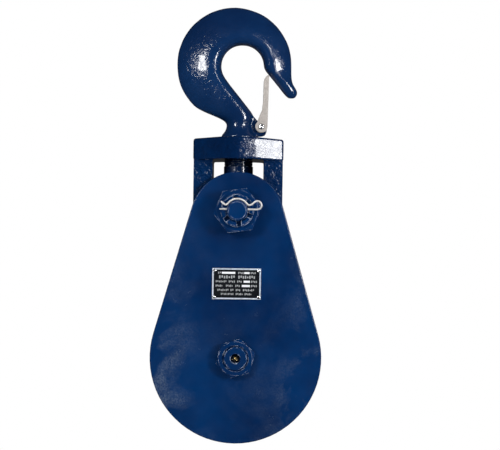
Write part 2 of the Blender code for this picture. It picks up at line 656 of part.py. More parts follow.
def build_sheaves():
    thrust_at = CENTRE_PLATE_T / 2 + GAP
    outer_at = CHEEK_IN - GAP - THRUST_T
    for side_name, side in (("front", -1), ("rear", 1)):
        middle = (0, side * SHEAVE_MID, PIN_Z)
        add_object(side_name + "_sheave", turned(sheave_profile(), 44, True), PAINT, middle)
        half = SHEAVE_W / 2 - GAP
        add_object(side_name + "_bush", washer(PIN_R + RUNNING_GAP, BUSH_R, -half, half), BRONZE, middle)
        for place, start in (("inner", thrust_at), ("outer", outer_at)):
            ring = washer(PIN_R + RUNNING_GAP, THRUST_R, 0, THRUST_T)
            start_y = start if side > 0 else -start - THRUST_T
            add_object(f"{side_name}_{place}_thrust_washer", ring, BRONZE, (0, start_y, PIN_Z))


# ---- centre pin ----------------------------------------------------------------------------------------
def build_pin():
    shoulder = CHEEK_IN - GAP
    end = PIN_END_Y
    edge = PIN_EDGE
    profile = [(0, -end), (PIN_THREAD_R - edge, -end), (PIN_THREAD_R, -end + edge),
               (PIN_THREAD_R, -shoulder), (PIN_R, -shoulder), (PIN_R, shoulder),
               (PIN_THREAD_R, shoulder), (PIN_THREAD_R, end - edge), (PIN_THREAD_R - edge, end), (0, end)]
    pin = add_object("centre_pin", turned(profile, 36, False), STEEL, (0, 0, PIN_Z))
    for side_name, side in (("front", -1), ("rear", 1)):
        floor = end - PIN_RECESS_DEPTH
        drill_end = SHEAVE_MID - 2 * GREASE_CROSS_R
        bore = [(0, side * drill_end), (GREASE_BORE_R, side * drill_end), (GREASE_BORE_R, side * floor),
                (PIN_RECESS_R, side * floor), (PIN_RECESS_R, side * (end + FAR)), (0, side * (end + FAR))]
        cutter = turned(bore, 20, False)
        boolean(pin, add_cutter(side_name + "_grease_bore", cutter, (0, 0, PIN_Z)))
        cross = upright(rod(GREASE_CROSS_R, 0, 2 * PIN_R, 12))
        boolean(pin, add_cutter(side_name + "_grease_cross", cross, (0, side * SHEAVE_MID, PIN_Z)))
        build_pin_nut(side_name + "_pin_nut", side)
        build_grease_fitting(side_name + "_grease_fitting", side, floor)


def nut_barrel(flats, base, top):
    """Turned shape that rounds off a hexagon's corners at its top. The base is left square."""
    away = 1 if top > base else -1
    flats_r = flats / 2
    rim = 0.3 * flats_r
    return turned([(0, base - away * FAR), (flats_r + rim, base - away * FAR),
                   (flats_r + rim, top - away * (NUT_TOP_DROP + rim * CHAMFER_SLOPE)),
                   (flats_r, top - away * NUT_FACE_DROP), (flats_r * 0.96, top + away * NUT_FACE_OVER),
                   (0, top + away * NUT_FACE_OVER)], 36, False)


def threaded_bore(radius, sink, base, top):
    """Cutter for a bore from below the base, countersunk at the top."""
    away = 1 if top > base else -1
    return turned([(0, base - away * FAR), (radius, base - away * FAR), (radius, top - away * sink),
                   (radius + 2 * sink, top + away * sink), (0, top + away * sink)], 36, False)


def build_pin_nut(name, side):
    here = (0, 0, PIN_Z)
    base = side * (CHEEK_OUT + GAP)
    top = side * (CHEEK_OUT + GAP + PIN_NUT_H)
    outline = hexagon(PIN_NUT_FLATS, PIN_NUT_TURN)
    nut = add_object(name, loft([lift(outline, base), lift(outline, top)]), PAINT, here)
    boolean(nut, add_cutter(name + "_chamfer", nut_barrel(PIN_NUT_FLATS, base, top), here), "INTERSECT")
    hole = threaded_bore(PIN_THREAD_R + GAP, PIN_NUT_SINK, base, top)
    boolean(nut, add_cutter(name + "_bore", hole, here))


def build_grease_fitting(name, side, floor):
    stem = GREASE_BORE_R - GAP
    profile = [(0, floor - 0.006), (stem, floor - 0.006), (stem, floor + GAP), (0.0046, floor + GAP),
               (0.0046, floor + 0.0035), (0.0024, floor + 0.0045), (0.0024, floor + 0.0060),
               (0.0033, floor + 0.0072), (0.0033, floor + 0.0082), (0.0018, floor + 0.0096),
               (0, floor + 0.0096)]
    shape = turned([(radius, side * along) for radius, along in profile], 16, False)
    add_object(name, shape, BRONZE, (0, 0, PIN_Z))


# ---- load bolt, its nut and the clip -------------------------------------------------------------------
def build_bolt():
    here = (0, 0, BOLT_Z)
    head_at = CHEEK_OUT + GAP
    collar_r = BOLT_HEAD_FLATS * 0.48
    profile = [(0, -BOLT_END_Y), (BOLT_END_R, -BOLT_END_Y), (BOLT_R, -BOLT_END_Y + BOLT_EDGE),
               (BOLT_R, head_at), (collar_r, head_at), (collar_r, head_at + BOLT_HEAD_WASHER_H),
               (0, head_at + BOLT_HEAD_WASHER_H)]
    bolt = add_object("top_bolt", turned(profile, 36, False), PAINT, here)
    outline = hexagon(BOLT_HEAD_FLATS, BOLT_HEAD_TURN)
    base, cap = head_at + BOLT_HEAD_WASHER_H / 2, head_at + BOLT_HEAD_H
    head = add_cutter("bolt_head_shape", loft([lift(outline, base), lift(outline, cap)]), here)
    corners = nut_barrel(BOLT_HEAD_FLATS, base, cap)
    boolean(head, add_cutter("bolt_head_chamfer", corners, here), "INTERSECT")
    boolean(bolt, head, "UNION")
    clip_hole = rod(CLIP_R + GAP, -FAR, FAR, 12)
    bmesh.ops.rotate(clip_hole, verts=clip_hole.verts, matrix=Matrix.Rotation(pi / 2, 3, "Z"))
    boolean(bolt, add_cutter("clip_hole", clip_hole, (0, -CLIP_Y, BOLT_Z + CLIP_RISE)))


def build_top_nut():
    here = (0, 0, BOLT_Z)
    base = -CHEEK_OUT - GAP
    shelf = base - TOP_NUT_H
    front = shelf - CROWN_H
    outline = hexagon(TOP_NUT_FLATS, NUT_TURN)
    nut = add_object("top_nut", loft([lift(outline, base), lift(outline, shelf)]), PAINT, here)
    boolean(nut, add_cutter("top_nut_chamfer", nut_barrel(TOP_NUT_FLATS, base, shelf), here), "INTERSECT")
    root = shelf + CROWN_H / 2
    crown = turned([(0, root), (CROWN_R, root), (CROWN_R, front + CROWN_EDGE),
                    (CROWN_R - CROWN_EDGE, front), (0, front)], 36, False)
    boolean(nut, add_cutter("crown", crown, here), "UNION")
    bore = threaded_bore(BOLT_R + GAP, CROWN_SINK, base, front)
    boolean(nut, add_cutter("top_nut_bore", bore, here))
    for i in range(3):
        turn = NUT_TURN + radians(30 + 60 * i)
        half, reach = CROWN_SLOT_W / 2, 2 * CROWN_R
        ring = [(-reach, -half), (reach, -half), (reach, half), (-reach, half)]
        spun = [(x * cos(turn) - z * sin(turn), x * sin(turn) + z * cos(turn)) for x, z in ring]
        slot = loft([lift(spun, front + CROWN_SLOT_DEPTH), lift(spun, front - FAR)])
        boolean(nut, add_cutter(f"crown_slot_{i + 1}", slot, here))


def build_clip():
    """Straight leg through the bolt, a small loop, and a bent leg that snaps over the bolt."""
    over = BOLT_R + CLIP_R + 2 * GAP
    hump = arc((0, -CLIP_RISE), over, CLIP_GRIP, 180 - CLIP_GRIP, 6)
    grip_x, grip_z = hump[0]
    leg = [(-grip_x - 0.0148, 0.0), (-grip_x - 0.0053, 0.0), (0.0, 0.0), (grip_x + 0.0053, 0.0),
           (grip_x + 0.0153, 0.0)]
    bow = [(grip_x + 0.0205, 0.0018), (grip_x + 0.0225, 0.0066), (grip_x + 0.0198, 0.0117),
           (grip_x + 0.0151, 0.0130), (grip_x + 0.0108, 0.0105)]
    dip = [(grip_x + 0.0068, grip_z - 0.0010), (grip_x + 0.0031, grip_z - 0.0021)]
    tail = [(-grip_x - 0.0028, grip_z - 0.0017), (-grip_x - 0.0058, grip_z - 0.0005),
            (-grip_x - 0.0106, grip_z + 0.0037)]
    places = leg + bow + dip + hump + tail
    points = [Vector((x, -z * tan(CLIP_LEAN), z)) for x, z in places]
    wire("hairpin_clip", smooth_path(points, 3), CLIP_R, STEEL, (0, -CLIP_Y, BOLT_Z + CLIP_RISE), 2)


# ---- nameplate -----------------------------------------------------------------------------------------
def build_nameplate():
    back = -CHEEK_OUT - GAP
    front = back - PLATE_T
    half_w, half_h, corner = PLATE_W / 2, PLATE_H / 2, PLATE_CORNER_R
    outline = (arc((half_w - corner, half_h - corner), corner, 0, 90, 2)
               + arc((-half_w + corner, half_h - corner), corner, 90, 180, 2)
               + arc((-half_w + corner, -half_h + corner), corner, 180, 270, 2)
               + arc((half_w - corner, -half_h + corner), corner, 270, 360, 2))
    centre = (0, 0, PIN_Z + PLATE_RISE)
    places = [(x, z - PLATE_RISE) for x, z in rivet_places()]
    holes = [hole_rings(place, RIVET_R + GAP, back, front, 10) for place in places]
    add_object("nameplate", pierced([lift(outline, back), lift(outline, front)], holes), BLACK_PLATE, centre)
    head_at = front - GAP
    for i, (x, z) in enumerate(places):
        profile = [(0, back + RIVET_DEPTH), (RIVET_R, back + RIVET_DEPTH), (RIVET_R, head_at),
                   (RIVET_HEAD_R, head_at), (RIVET_HEAD_R * 0.75, head_at - 0.7 * RIVET_HEAD_H),
                   (0, head_at - RIVET_HEAD_H)]
        add_object(f"nameplate_rivet_{i + 1}", turned(profile, 12, False), STEEL,
                   (centre[0] + x, 0, centre[2] + z))


def main():
    clear_scene()
    build_hook()
    build_hook_hardware()
    build_latch()
    build_yoke()
    build_plates()
    build_sheaves()
    build_pin()
    build_bolt()
    build_top_nut()
    build_clip()
    build_nameplate()


main()
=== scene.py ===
"""Looks of a double sheave block: enamelled hook, yoke and plates, zinc latch, bronze bushed sheaves.

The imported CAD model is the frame. Every visible node is replaced by a finer piece that is modelled
in its place, or keeps its shape and is given a finish. Metres, +Z up, the nameplate side faces -Y.
"""
from __future__ import annotations

import json
import logging
import math
from collections.abc import Callable
from dataclasses import dataclass
from enum import Enum

import bmesh
import bpy
from mathutils import Matrix, Vector

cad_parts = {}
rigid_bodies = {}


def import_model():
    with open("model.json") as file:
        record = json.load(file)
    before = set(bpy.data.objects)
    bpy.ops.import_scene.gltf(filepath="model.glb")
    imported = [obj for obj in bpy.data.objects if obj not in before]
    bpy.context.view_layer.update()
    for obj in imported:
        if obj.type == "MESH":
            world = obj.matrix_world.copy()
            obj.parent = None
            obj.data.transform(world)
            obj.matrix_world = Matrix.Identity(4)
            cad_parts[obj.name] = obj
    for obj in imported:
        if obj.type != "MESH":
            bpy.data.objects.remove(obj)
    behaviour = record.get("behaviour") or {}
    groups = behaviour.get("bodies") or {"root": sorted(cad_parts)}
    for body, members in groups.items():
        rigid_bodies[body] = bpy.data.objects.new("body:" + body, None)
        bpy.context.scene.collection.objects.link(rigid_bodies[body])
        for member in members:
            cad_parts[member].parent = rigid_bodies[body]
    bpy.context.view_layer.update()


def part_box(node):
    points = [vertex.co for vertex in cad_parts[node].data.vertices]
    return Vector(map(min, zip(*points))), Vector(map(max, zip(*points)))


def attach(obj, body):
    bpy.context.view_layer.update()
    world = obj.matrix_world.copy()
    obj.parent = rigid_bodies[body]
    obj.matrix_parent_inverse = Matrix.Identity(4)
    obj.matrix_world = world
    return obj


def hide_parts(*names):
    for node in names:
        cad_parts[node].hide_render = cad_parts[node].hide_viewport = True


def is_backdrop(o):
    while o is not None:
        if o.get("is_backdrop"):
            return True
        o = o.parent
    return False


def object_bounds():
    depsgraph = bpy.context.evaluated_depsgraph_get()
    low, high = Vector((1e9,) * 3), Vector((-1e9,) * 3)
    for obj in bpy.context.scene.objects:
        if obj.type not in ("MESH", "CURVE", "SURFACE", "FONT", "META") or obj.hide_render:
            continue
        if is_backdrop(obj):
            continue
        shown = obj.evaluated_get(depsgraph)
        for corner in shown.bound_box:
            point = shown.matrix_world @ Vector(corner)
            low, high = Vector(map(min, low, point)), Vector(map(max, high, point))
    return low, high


Piece = bpy.types.Object
Surface = bpy.types.Material
Tree = bpy.types.NodeTree
Node = bpy.types.Node
Socket = bpy.types.NodeSocket
Triple = tuple[float, float, float]
Outline = list[tuple[float, float]]                         # distance from an axis, and along it
Row = tuple[float, float, tuple[tuple[float, float, bool], ...]]     # middle, height and runs

LOG = logging.getLogger("sheave_block")
GAP = 0.0003            # the CAD model's clearance between faces that touch
MERGE = 0.00001         # points nearer than this become one
FRONTAL = -0.9          # a face looks forwards when its normal's Y is below this


class Body(Enum):
    """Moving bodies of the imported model."""

    HOOK = "hook_body"
    LATCH = "latch_body"
    YOKE = "yoke_body"
    PLATES = "plates"
    FRONT_SHEAVE = "front_sheave_body"
    REAR_SHEAVE = "rear_sheave_body"


class Slot(Enum):
    """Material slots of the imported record."""

    PAINT = "navy_paint"
    STEEL = "bare_steel"
    ZINC = "zinc_steel"
    BRONZE = "bronze"
    PLATE = "plate_black"
    BRASS = "fitting_brass"


class Side(Enum):
    """The two halves of the block, by the way their outer faces point along Y."""

    FRONT = -1
    REAR = 1

    @property
    def word(self) -> str:
        """Name of the half, as the nodes spell it."""
        return self.name.lower()


# ---- node sheets and shared shader groups ----
class Sheet:
    """A node tree that is being wired up."""

    MIX_INPUTS = (0, 6, 7)          # a colour Mix node's share, first and second colour
    MIX_RESULT = 2

    def __init__(self, tree: Tree) -> None:
        """Start from a material's or group's node tree."""
        self.tree = tree

    def add(self, kind: str, **settings: object) -> Node:
        """Add a node.

        Args:
            kind: Blender's node type, without its ShaderNode prefix.
            settings: properties to set on the node.

        Returns:
            The new node.
        """
        node = self.tree.nodes.new("ShaderNode" + kind)
        for name, value in settings.items():
            setattr(node, name, value)
        return node

    def plug(self, socket: Socket, source: object) -> None:
        """Feed one input socket.

        Args:
            socket: the input.
            source: an output socket to link, or a plain value. A colour may leave out its alpha.
        """
        if isinstance(source, Socket):
            self.tree.links.new(source, socket)
        elif socket.type == "RGBA":
            socket.default_value = (*source[:3], 1.0)
        else:
            socket.default_value = source

    def feed(self, node: Node, **sources: object) -> Node:
        """Feed a node's inputs, by name with underscores for spaces."""
        for name, source in sources.items():
            self.plug(node.inputs[name.replace("_", " ")], source)
        return node

    def noise(self, vector: Socket, scale: object, detail: float = 3.0, roughness: float = 0.5,
              distortion: float = 0.0) -> Socket:
        """Noise from 0 to 1, around one half."""
        node = self.add("TexNoise")
        return self.feed(node, Vector=vector, Scale=scale, Detail=detail, Roughness=roughness,
                         Distortion=distortion).outputs["Fac"]

    def remap(self, value: Socket, span: tuple[object, object],
              onto: tuple[float, float] = (0.0, 1.0)) -> Socket:
        """Spread one span of a value over another, held at its ends."""
        node = self.add("MapRange")
        return self.feed(node, Value=value, From_Min=span[0], From_Max=span[1], To_Min=onto[0],
                         To_Max=onto[1]).outputs["Result"]

    def maths(self, operation: str, first: object, second: object = 0.0) -> Socket:
        """One step of arithmetic on two numbers.

        Args:
            operation: Blender's name of the step.
            first: the first number, as an output socket or a plain value.
            second: the other number.

        Returns:
            The result's socket.
        """
        node = self.add("Math", operation=operation)
        for socket, source in zip(node.inputs, (first, second)):
            self.plug(socket, source)
        return node.outputs["Value"]

    def blend(self, share: object, first: object, second: object) -> Socket:
        """Mix two colours.

        Args:
            share: how much of the second colour there is, from 0 to 1.
            first: the first colour.
            second: the second colour.

        Returns:
            The mixed colour's socket.
        """
        node = self.add("Mix", data_type="RGBA")
        for number, source in zip(self.MIX_INPUTS, (share, first, second)):
            self.plug(node.inputs[number], source)
        return node.outputs[self.MIX_RESULT]

    def bumped(self, height: Socket, distance: float) -> Socket:
        """A normal that follows a height, which is worth a distance in metres."""
        node = self.add("Bump")
        return self.feed(node, Height=height, Distance=distance, Strength=1.0).outputs["Normal"]

    def split(self, vector: Socket) -> Node:
        """A vector split into its parts along X, Y and Z."""
        return self.feed(self.add("SeparateXYZ"), Vector=vector)

    def placed(self, location: Triple = (0.0, 0.0, 0.0),
               scale: Triple = (1.0, 1.0, 1.0)) -> Socket:
        """Object coordinates, centred on a place and stretched.

        Args:
            location: the place that becomes the pattern's centre.
            scale: the pattern's stretch along each axis.

        Returns:
            The coordinates' socket.
        """
        node = self.add("Mapping")
        shift = tuple(-a * b for a, b in zip(location, scale))
        self.feed(node, Vector=self.add("TexCoord").outputs["Object"], Location=shift, Scale=scale)
        return node.outputs["Vector"]


class Groups:
    """Shader node groups that more than one finish uses, each made once. A span is of a noise."""

    RIPPLES = (0.32, 0.68)
    LEVEL_TO_STEEP = (0.9, 0.4)     # of the normal's Z
    LEVEL_SHARE = (0.06, 1.0)       # of the ripples, on a level and on a steep face
    EDGE_TURN = (0.015, 0.14)       # how far the normal turns on a worn edge, which also takes the painted edge highlights
    PATCH_BLUR = 0.08
    MIRRORED = (-1.0, 1.0, 1.0)
    CLOUDS = (0.49, 0.68)
    GRAINS = (0.38, 0.66)
    GRAIN_SCALE = 420.0
    GRAIN_SHARE = (0.2, 1.0)
    HIGH_SHARE = (0.12, 1.0)        # of the dust, high up and low down
    INNER_SHARE = (0.15, 1.0)       # of the dust, near the middle and far out
    RING_SHARE = 0.5

    def __init__(self) -> None:
        """Make every group."""
        self.relief = self._relief()
        self.wear = self._wear()
        self.dust = self._dust()
        self.turning = self._turning()

    @staticmethod
    def _start(name: str, inputs: dict[str, float | None], outputs: tuple[str, ...]) -> tuple[
            Tree, Sheet, Node, Node]:
        """Begin a group.

        Args:
            name: the group's name.
            inputs: input names and their defaults. None makes a vector input.
            outputs: names of the value outputs.

        Returns:
            The group's tree, its sheet, its input node and its output node.
        """
        tree = bpy.data.node_groups.new(name, "ShaderNodeTree")
        for label, value in inputs.items():
            kind = "NodeSocketVector" if value is None else "NodeSocketFloat"
            socket = tree.interface.new_socket(name=label, in_out="INPUT", socket_type=kind)
            if value is not None:
                socket.default_value = value
        for label in outputs:
            tree.interface.new_socket(name=label, in_out="OUTPUT", socket_type="NodeSocketFloat")
        return tree, Sheet(tree), tree.nodes.new("NodeGroupInput"), tree.nodes.new("NodeGroupOutput")

    def _relief(self) -> Tree:
        """Height of brushed enamel: lumps of the metal under it, orange peel, sags on steep faces.

        Returns:
            The group.
        """
        names = {"Vector": None, "Lump Scale": 30.0, "Lump Height": 1.0, "Ripple Scale": 160.0,
                 "Ripple Height": 0.3, "Peel Scale": 700.0, "Peel Height": 0.1}
        tree, sheet, given, made = self._start("enamel_relief", names, ("Height",))
        lumps = sheet.noise(given.outputs["Vector"], given.outputs["Lump Scale"], 2.0)
        ripples = sheet.noise(given.outputs["Vector"], given.outputs["Ripple Scale"], 3.0, 0.6, 0.8)
        ripples = sheet.remap(ripples, self.RIPPLES)
        facing = sheet.split(sheet.add("NewGeometry").outputs["Normal"])
        level = sheet.maths("ABSOLUTE", facing.outputs["Z"])
        kept = sheet.remap(level, self.LEVEL_TO_STEEP, self.LEVEL_SHARE)
        ripples = sheet.maths("MULTIPLY", ripples, kept)
        peel = sheet.noise(given.outputs["Vector"], given.outputs["Peel Scale"], 2.0)
        height = sheet.maths("MULTIPLY", lumps, given.outputs["Lump Height"])
        more = sheet.maths("MULTIPLY", ripples, given.outputs["Ripple Height"])
        fine = sheet.maths("MULTIPLY", peel, given.outputs["Peel Height"])
        total = sheet.maths("ADD", sheet.maths("ADD", height, more), fine)
        tree.links.new(total, made.inputs["Height"])
        return tree

    def _wear(self) -> Tree:
        """Mask of worn edges and of painted edge highlights: where the surface turns sharply, broken up
        by patches.

        Returns:
            The group.
        """
        names = {"Vector": None, "Width": 0.0012, "Amount": 0.5, "Patch Scale": 90.0}
        tree, sheet, given, made = self._start("edge_wear", names, ("Mask",))
        rounded = sheet.add("Bevel", samples=4)
        tree.links.new(given.outputs["Width"], rounded.inputs["Radius"])
        plain = sheet.add("NewGeometry").outputs["Normal"]
        facing = sheet.add("VectorMath", operation="DOT_PRODUCT")
        tree.links.new(rounded.outputs["Normal"], facing.inputs[0])
        tree.links.new(plain, facing.inputs[1])
        turn = sheet.maths("SUBTRACT", 1.0, facing.outputs["Value"])
        edge = sheet.remap(turn, self.EDGE_TURN)
        patches = sheet.noise(given.outputs["Vector"], given.outputs["Patch Scale"], 4.0, 0.65)
        limit = sheet.maths("SUBTRACT", 1.0, given.outputs["Amount"])
        broken = sheet.remap(patches, (limit, sheet.maths("ADD", limit, self.PATCH_BLUR)))
        tree.links.new(sheet.maths("MULTIPLY", edge, broken), made.inputs["Mask"])
        return tree

    def _dust(self) -> Tree:
        """Mask of dust that clings in clouds and streaks, more of it low down and far out.

        Returns:
            The group.
        """
        names = {"Vector": None, "Scale": 9.0, "Amount": 0.5, "Low": -0.62, "High": -0.3,
                 "Inner": 0.055, "Outer": 0.115}
        tree, sheet, given, made = self._start("dust_clouds", names, ("Mask",))
        drift = sheet.add("VectorMath", operation="MULTIPLY")
        tree.links.new(given.outputs["Vector"], drift.inputs[0])
        drift.inputs[1].default_value = self.MIRRORED
        clouds = sheet.noise(drift.outputs["Vector"], given.outputs["Scale"], 5.0, 0.6, 0.5)
        clouds = sheet.remap(clouds, self.CLOUDS)
        grains = sheet.noise(given.outputs["Vector"], self.GRAIN_SCALE, 3.0, 0.7)
        grains = sheet.remap(grains, self.GRAINS, self.GRAIN_SHARE)
        split = sheet.split(given.outputs["Vector"])
        heights = (given.outputs["High"], given.outputs["Low"])
        lower = sheet.remap(split.outputs["Z"], heights, self.HIGH_SHARE)
        aside = sheet.maths("ABSOLUTE", split.outputs["X"])
        reaches = (given.outputs["Inner"], given.outputs["Outer"])
        outer = sheet.remap(aside, reaches, self.INNER_SHARE)
        place = sheet.maths("MULTIPLY", lower, outer)
        mask = sheet.maths("MULTIPLY", sheet.maths("MULTIPLY", clouds, grains), place)
        tree.links.new(sheet.maths("MULTIPLY", mask, given.outputs["Amount"]), made.inputs["Mask"])
        return tree

    def _turning(self) -> Tree:
        """Height of tool marks in rings about Y, with some scratches across them.

        Returns:
            The group.
        """
        names = {"Vector": None, "Ring Scale": 900.0, "Scratch Scale": 260.0}
        tree, sheet, given, made = self._start("turning_marks", names, ("Height",))
        rings = sheet.add("TexWave", wave_type="RINGS", rings_direction="Y", wave_profile="SIN")
        sheet.feed(rings, Vector=given.outputs["Vector"], Scale=given.outputs["Ring Scale"],
                   Distortion=1.5, Detail=2.0)
        marks = sheet.noise(given.outputs["Vector"], given.outputs["Scratch Scale"], 4.0, 0.7, 1.2)
        ringed = sheet.maths("MULTIPLY", rings.outputs["Fac"], self.RING_SHARE)
        height = sheet.maths("ADD", ringed, marks)
        tree.links.new(height, made.inputs["Height"])
        return tree


# ---- finishes ----
@dataclass(frozen=True)
class Enamel:
    """Navy enamel brushed over forged or cut steel."""

    name: str
    colour: Triple = (0.0006, 0.0215, 0.088)
    deep: Triple = (0.0005, 0.0115, 0.052)
    dust_colour: Triple = (0.17, 0.22, 0.27)
    roughness: float = 0.24
    coat: float = 0.35
    specular: float = 0.35
    lump_scale: float = 34.0
    lump_height: float = 0.3
    ripple_scale: float = 170.0
    ripple_height: float = 0.04
    peel_height: float = 0.01
    bump: float = 0.0012
    dust: float = 0.3
    dust_scale: float = 9.0
    wear: float = 0.42
    wear_width: float = 0.0012
    chips: float = 0.0
    rubbed: Triple = (0.42, 0.44, 0.48)         # colour of worn edges and chips; the nut enamel's bright bluish one is also a painted highlight along the edges
    tone_scale: float = 6.0
    patch_scale: float = 110.0
    chip_scale: float = 38.0
    chip_size: tuple[float, float] = (0.085, 0.06)
    chip_chance: tuple[float, float] = (0.575, 0.60)
    gloss_scale: float = 45.0
    gloss_spread: tuple[float, float] = (-0.05, 0.07)   # about the roughness
    dust_dulls: float = 0.5

    def material(self, groups: Groups) -> Surface:
        """Make the material.

        Args:
            groups: the shared shader groups.

        Returns:
            A node material named for the finish.
        """
        surface, sheet, shader = start_material(self.name)
        place = sheet.placed()
        tone = sheet.noise(place, self.tone_scale, 4.0, 0.6)
        paint = sheet.blend(sheet.remap(tone, (0.35, 0.65)), self.deep, self.colour)

        dust = add_group(sheet, groups.dust)
        sheet.feed(dust, Vector=place, Scale=self.dust_scale, Amount=self.dust)
        dusted = sheet.blend(dust.outputs["Mask"], paint, self.dust_colour)

        wear = add_group(sheet, groups.wear)
        sheet.feed(wear, Vector=place, Width=self.wear_width, Amount=self.wear,
                   Patch_Scale=self.patch_scale)
        cells = sheet.add("TexVoronoi", feature="F1")
        sheet.feed(cells, Vector=place, Scale=self.chip_scale, Randomness=1.0)
        chosen = sheet.noise(place, self.chip_scale / 2, 2.0)
        spots = sheet.maths("MULTIPLY", sheet.remap(cells.outputs["Distance"], self.chip_size),
                            sheet.remap(chosen, self.chip_chance))
        spots = sheet.maths("MULTIPLY", spots, self.chips)
        # worn edges and chips; with the nut enamel's bright edge colour this also paints highlights
        # along the edges
        rubbed = sheet.maths("MAXIMUM", wear.outputs["Mask"], spots)
        colour = sheet.blend(rubbed, dusted, self.rubbed)

        relief = add_group(sheet, groups.relief)
        sheet.feed(relief, Vector=place, Lump_Scale=self.lump_scale, Lump_Height=self.lump_height,
                   Ripple_Scale=self.ripple_scale, Ripple_Height=self.ripple_height,
                   Peel_Height=self.peel_height)
        normal = sheet.bumped(relief.outputs["Height"], self.bump)
        gloss = sheet.noise(place, self.gloss_scale)
        spread = tuple(self.roughness + part for part in self.gloss_spread)
        rough = sheet.remap(gloss, (0.3, 0.7), spread)
        dull = sheet.maths("MULTIPLY", dust.outputs["Mask"], self.dust_dulls)
        rough = sheet.maths("ADD", rough, dull)
        sheet.feed(shader, Base_Color=colour, Roughness=rough, Normal=normal,
                   Specular_IOR_Level=self.specular, Coat_Weight=self.coat, Coat_Roughness=0.06)
        return surface


@dataclass(frozen=True)
class Metal:
    """Bare or plated metal with its own tarnish and tool marks."""

    name: str
    colour: Triple
    stain: Triple
    roughness: float = 0.3
    stain_scale: float = 60.0
    stain_share: float = 0.5
    centre: Triple = (0.0, 0.0, 0.0)
    bump: float = 0.00012
    ring_scale: float = 500.0
    metallic: float = 1.0
    tarnish: float = 0.2            # roughness that a stain adds

    def material(self, groups: Groups) -> Surface:
        """Make the material.

        Args:
            groups: the shared shader groups.

        Returns:
            A node material named for the finish.
        """
        surface, sheet, shader = start_material(self.name)
        place = sheet.placed(self.centre)
        stains = sheet.noise(place, self.stain_scale, 5.0, 0.65, 0.4)
        limits = (0.62 - 0.3 * self.stain_share, 0.8 - 0.2 * self.stain_share)
        share = sheet.remap(stains, limits)
        colour = sheet.blend(share, self.colour, self.stain)
        marks = add_group(sheet, groups.turning)
        sheet.feed(marks, Vector=place, Ring_Scale=self.ring_scale)
        rough = sheet.remap(share, (0.0, 1.0), (self.roughness, self.roughness + self.tarnish))
        sheet.feed(shader, Base_Color=colour, Roughness=rough, Metallic=self.metallic,
                   Normal=sheet.bumped(marks.outputs["Height"], self.bump))
        return surface


@dataclass(frozen=True)
class Print:
    """Baked stove enamel or printing on the nameplate, with fine scratches."""

    name: str
    colour: Triple
    scratch: Triple
    roughness: float = 0.4
    specular: float = 0.15
    scratch_scale: float = 900.0
    bump: float = 0.00008

    def material(self, groups: Groups) -> Surface:
        """Make the material.

        Args:
            groups: the shared shader groups.

        Returns:
            A node material named for the finish.
        """
        surface, sheet, shader = start_material(self.name)
        place = sheet.placed(scale=(1.0, 1.0, 0.18))
        lines = sheet.noise(place, self.scratch_scale, 4.0, 0.7)
        share = sheet.remap(lines, (0.64, 0.74))
        fine = add_group(sheet, groups.relief)
        sheet.feed(fine, Vector=sheet.placed(), Lump_Scale=120.0, Ripple_Scale=self.scratch_scale)
        spread = (self.roughness - 0.08, self.roughness + 0.12)
        sheet.feed(shader, Base_Color=sheet.blend(share, self.colour, self.scratch),
                   Roughness=sheet.remap(lines, (0.3, 0.7), spread),
                   Normal=sheet.bumped(fine.outputs["Height"], self.bump),
                   Specular_IOR_Level=self.specular)
        return surface


def start_material(name: str) -> tuple[Surface, Sheet, Node]:
    """Begin a node material.

    Args:
        name: the material's name.

    Returns:
        The material, its sheet and its Principled shader.
    """
    surface = bpy.data.materials.new(name)
    surface.use_nodes = True
    return surface, Sheet(surface.node_tree), surface.node_tree.nodes["Principled BSDF"]


def add_group(sheet: Sheet, tree: Tree) -> Node:
    """Place a shared group in a material.

    Args:
        sheet: the material's sheet.
        tree: the group's tree.

    Returns:
        The group node.
    """
    node = sheet.add("Group")
    node.node_tree = tree
    return node


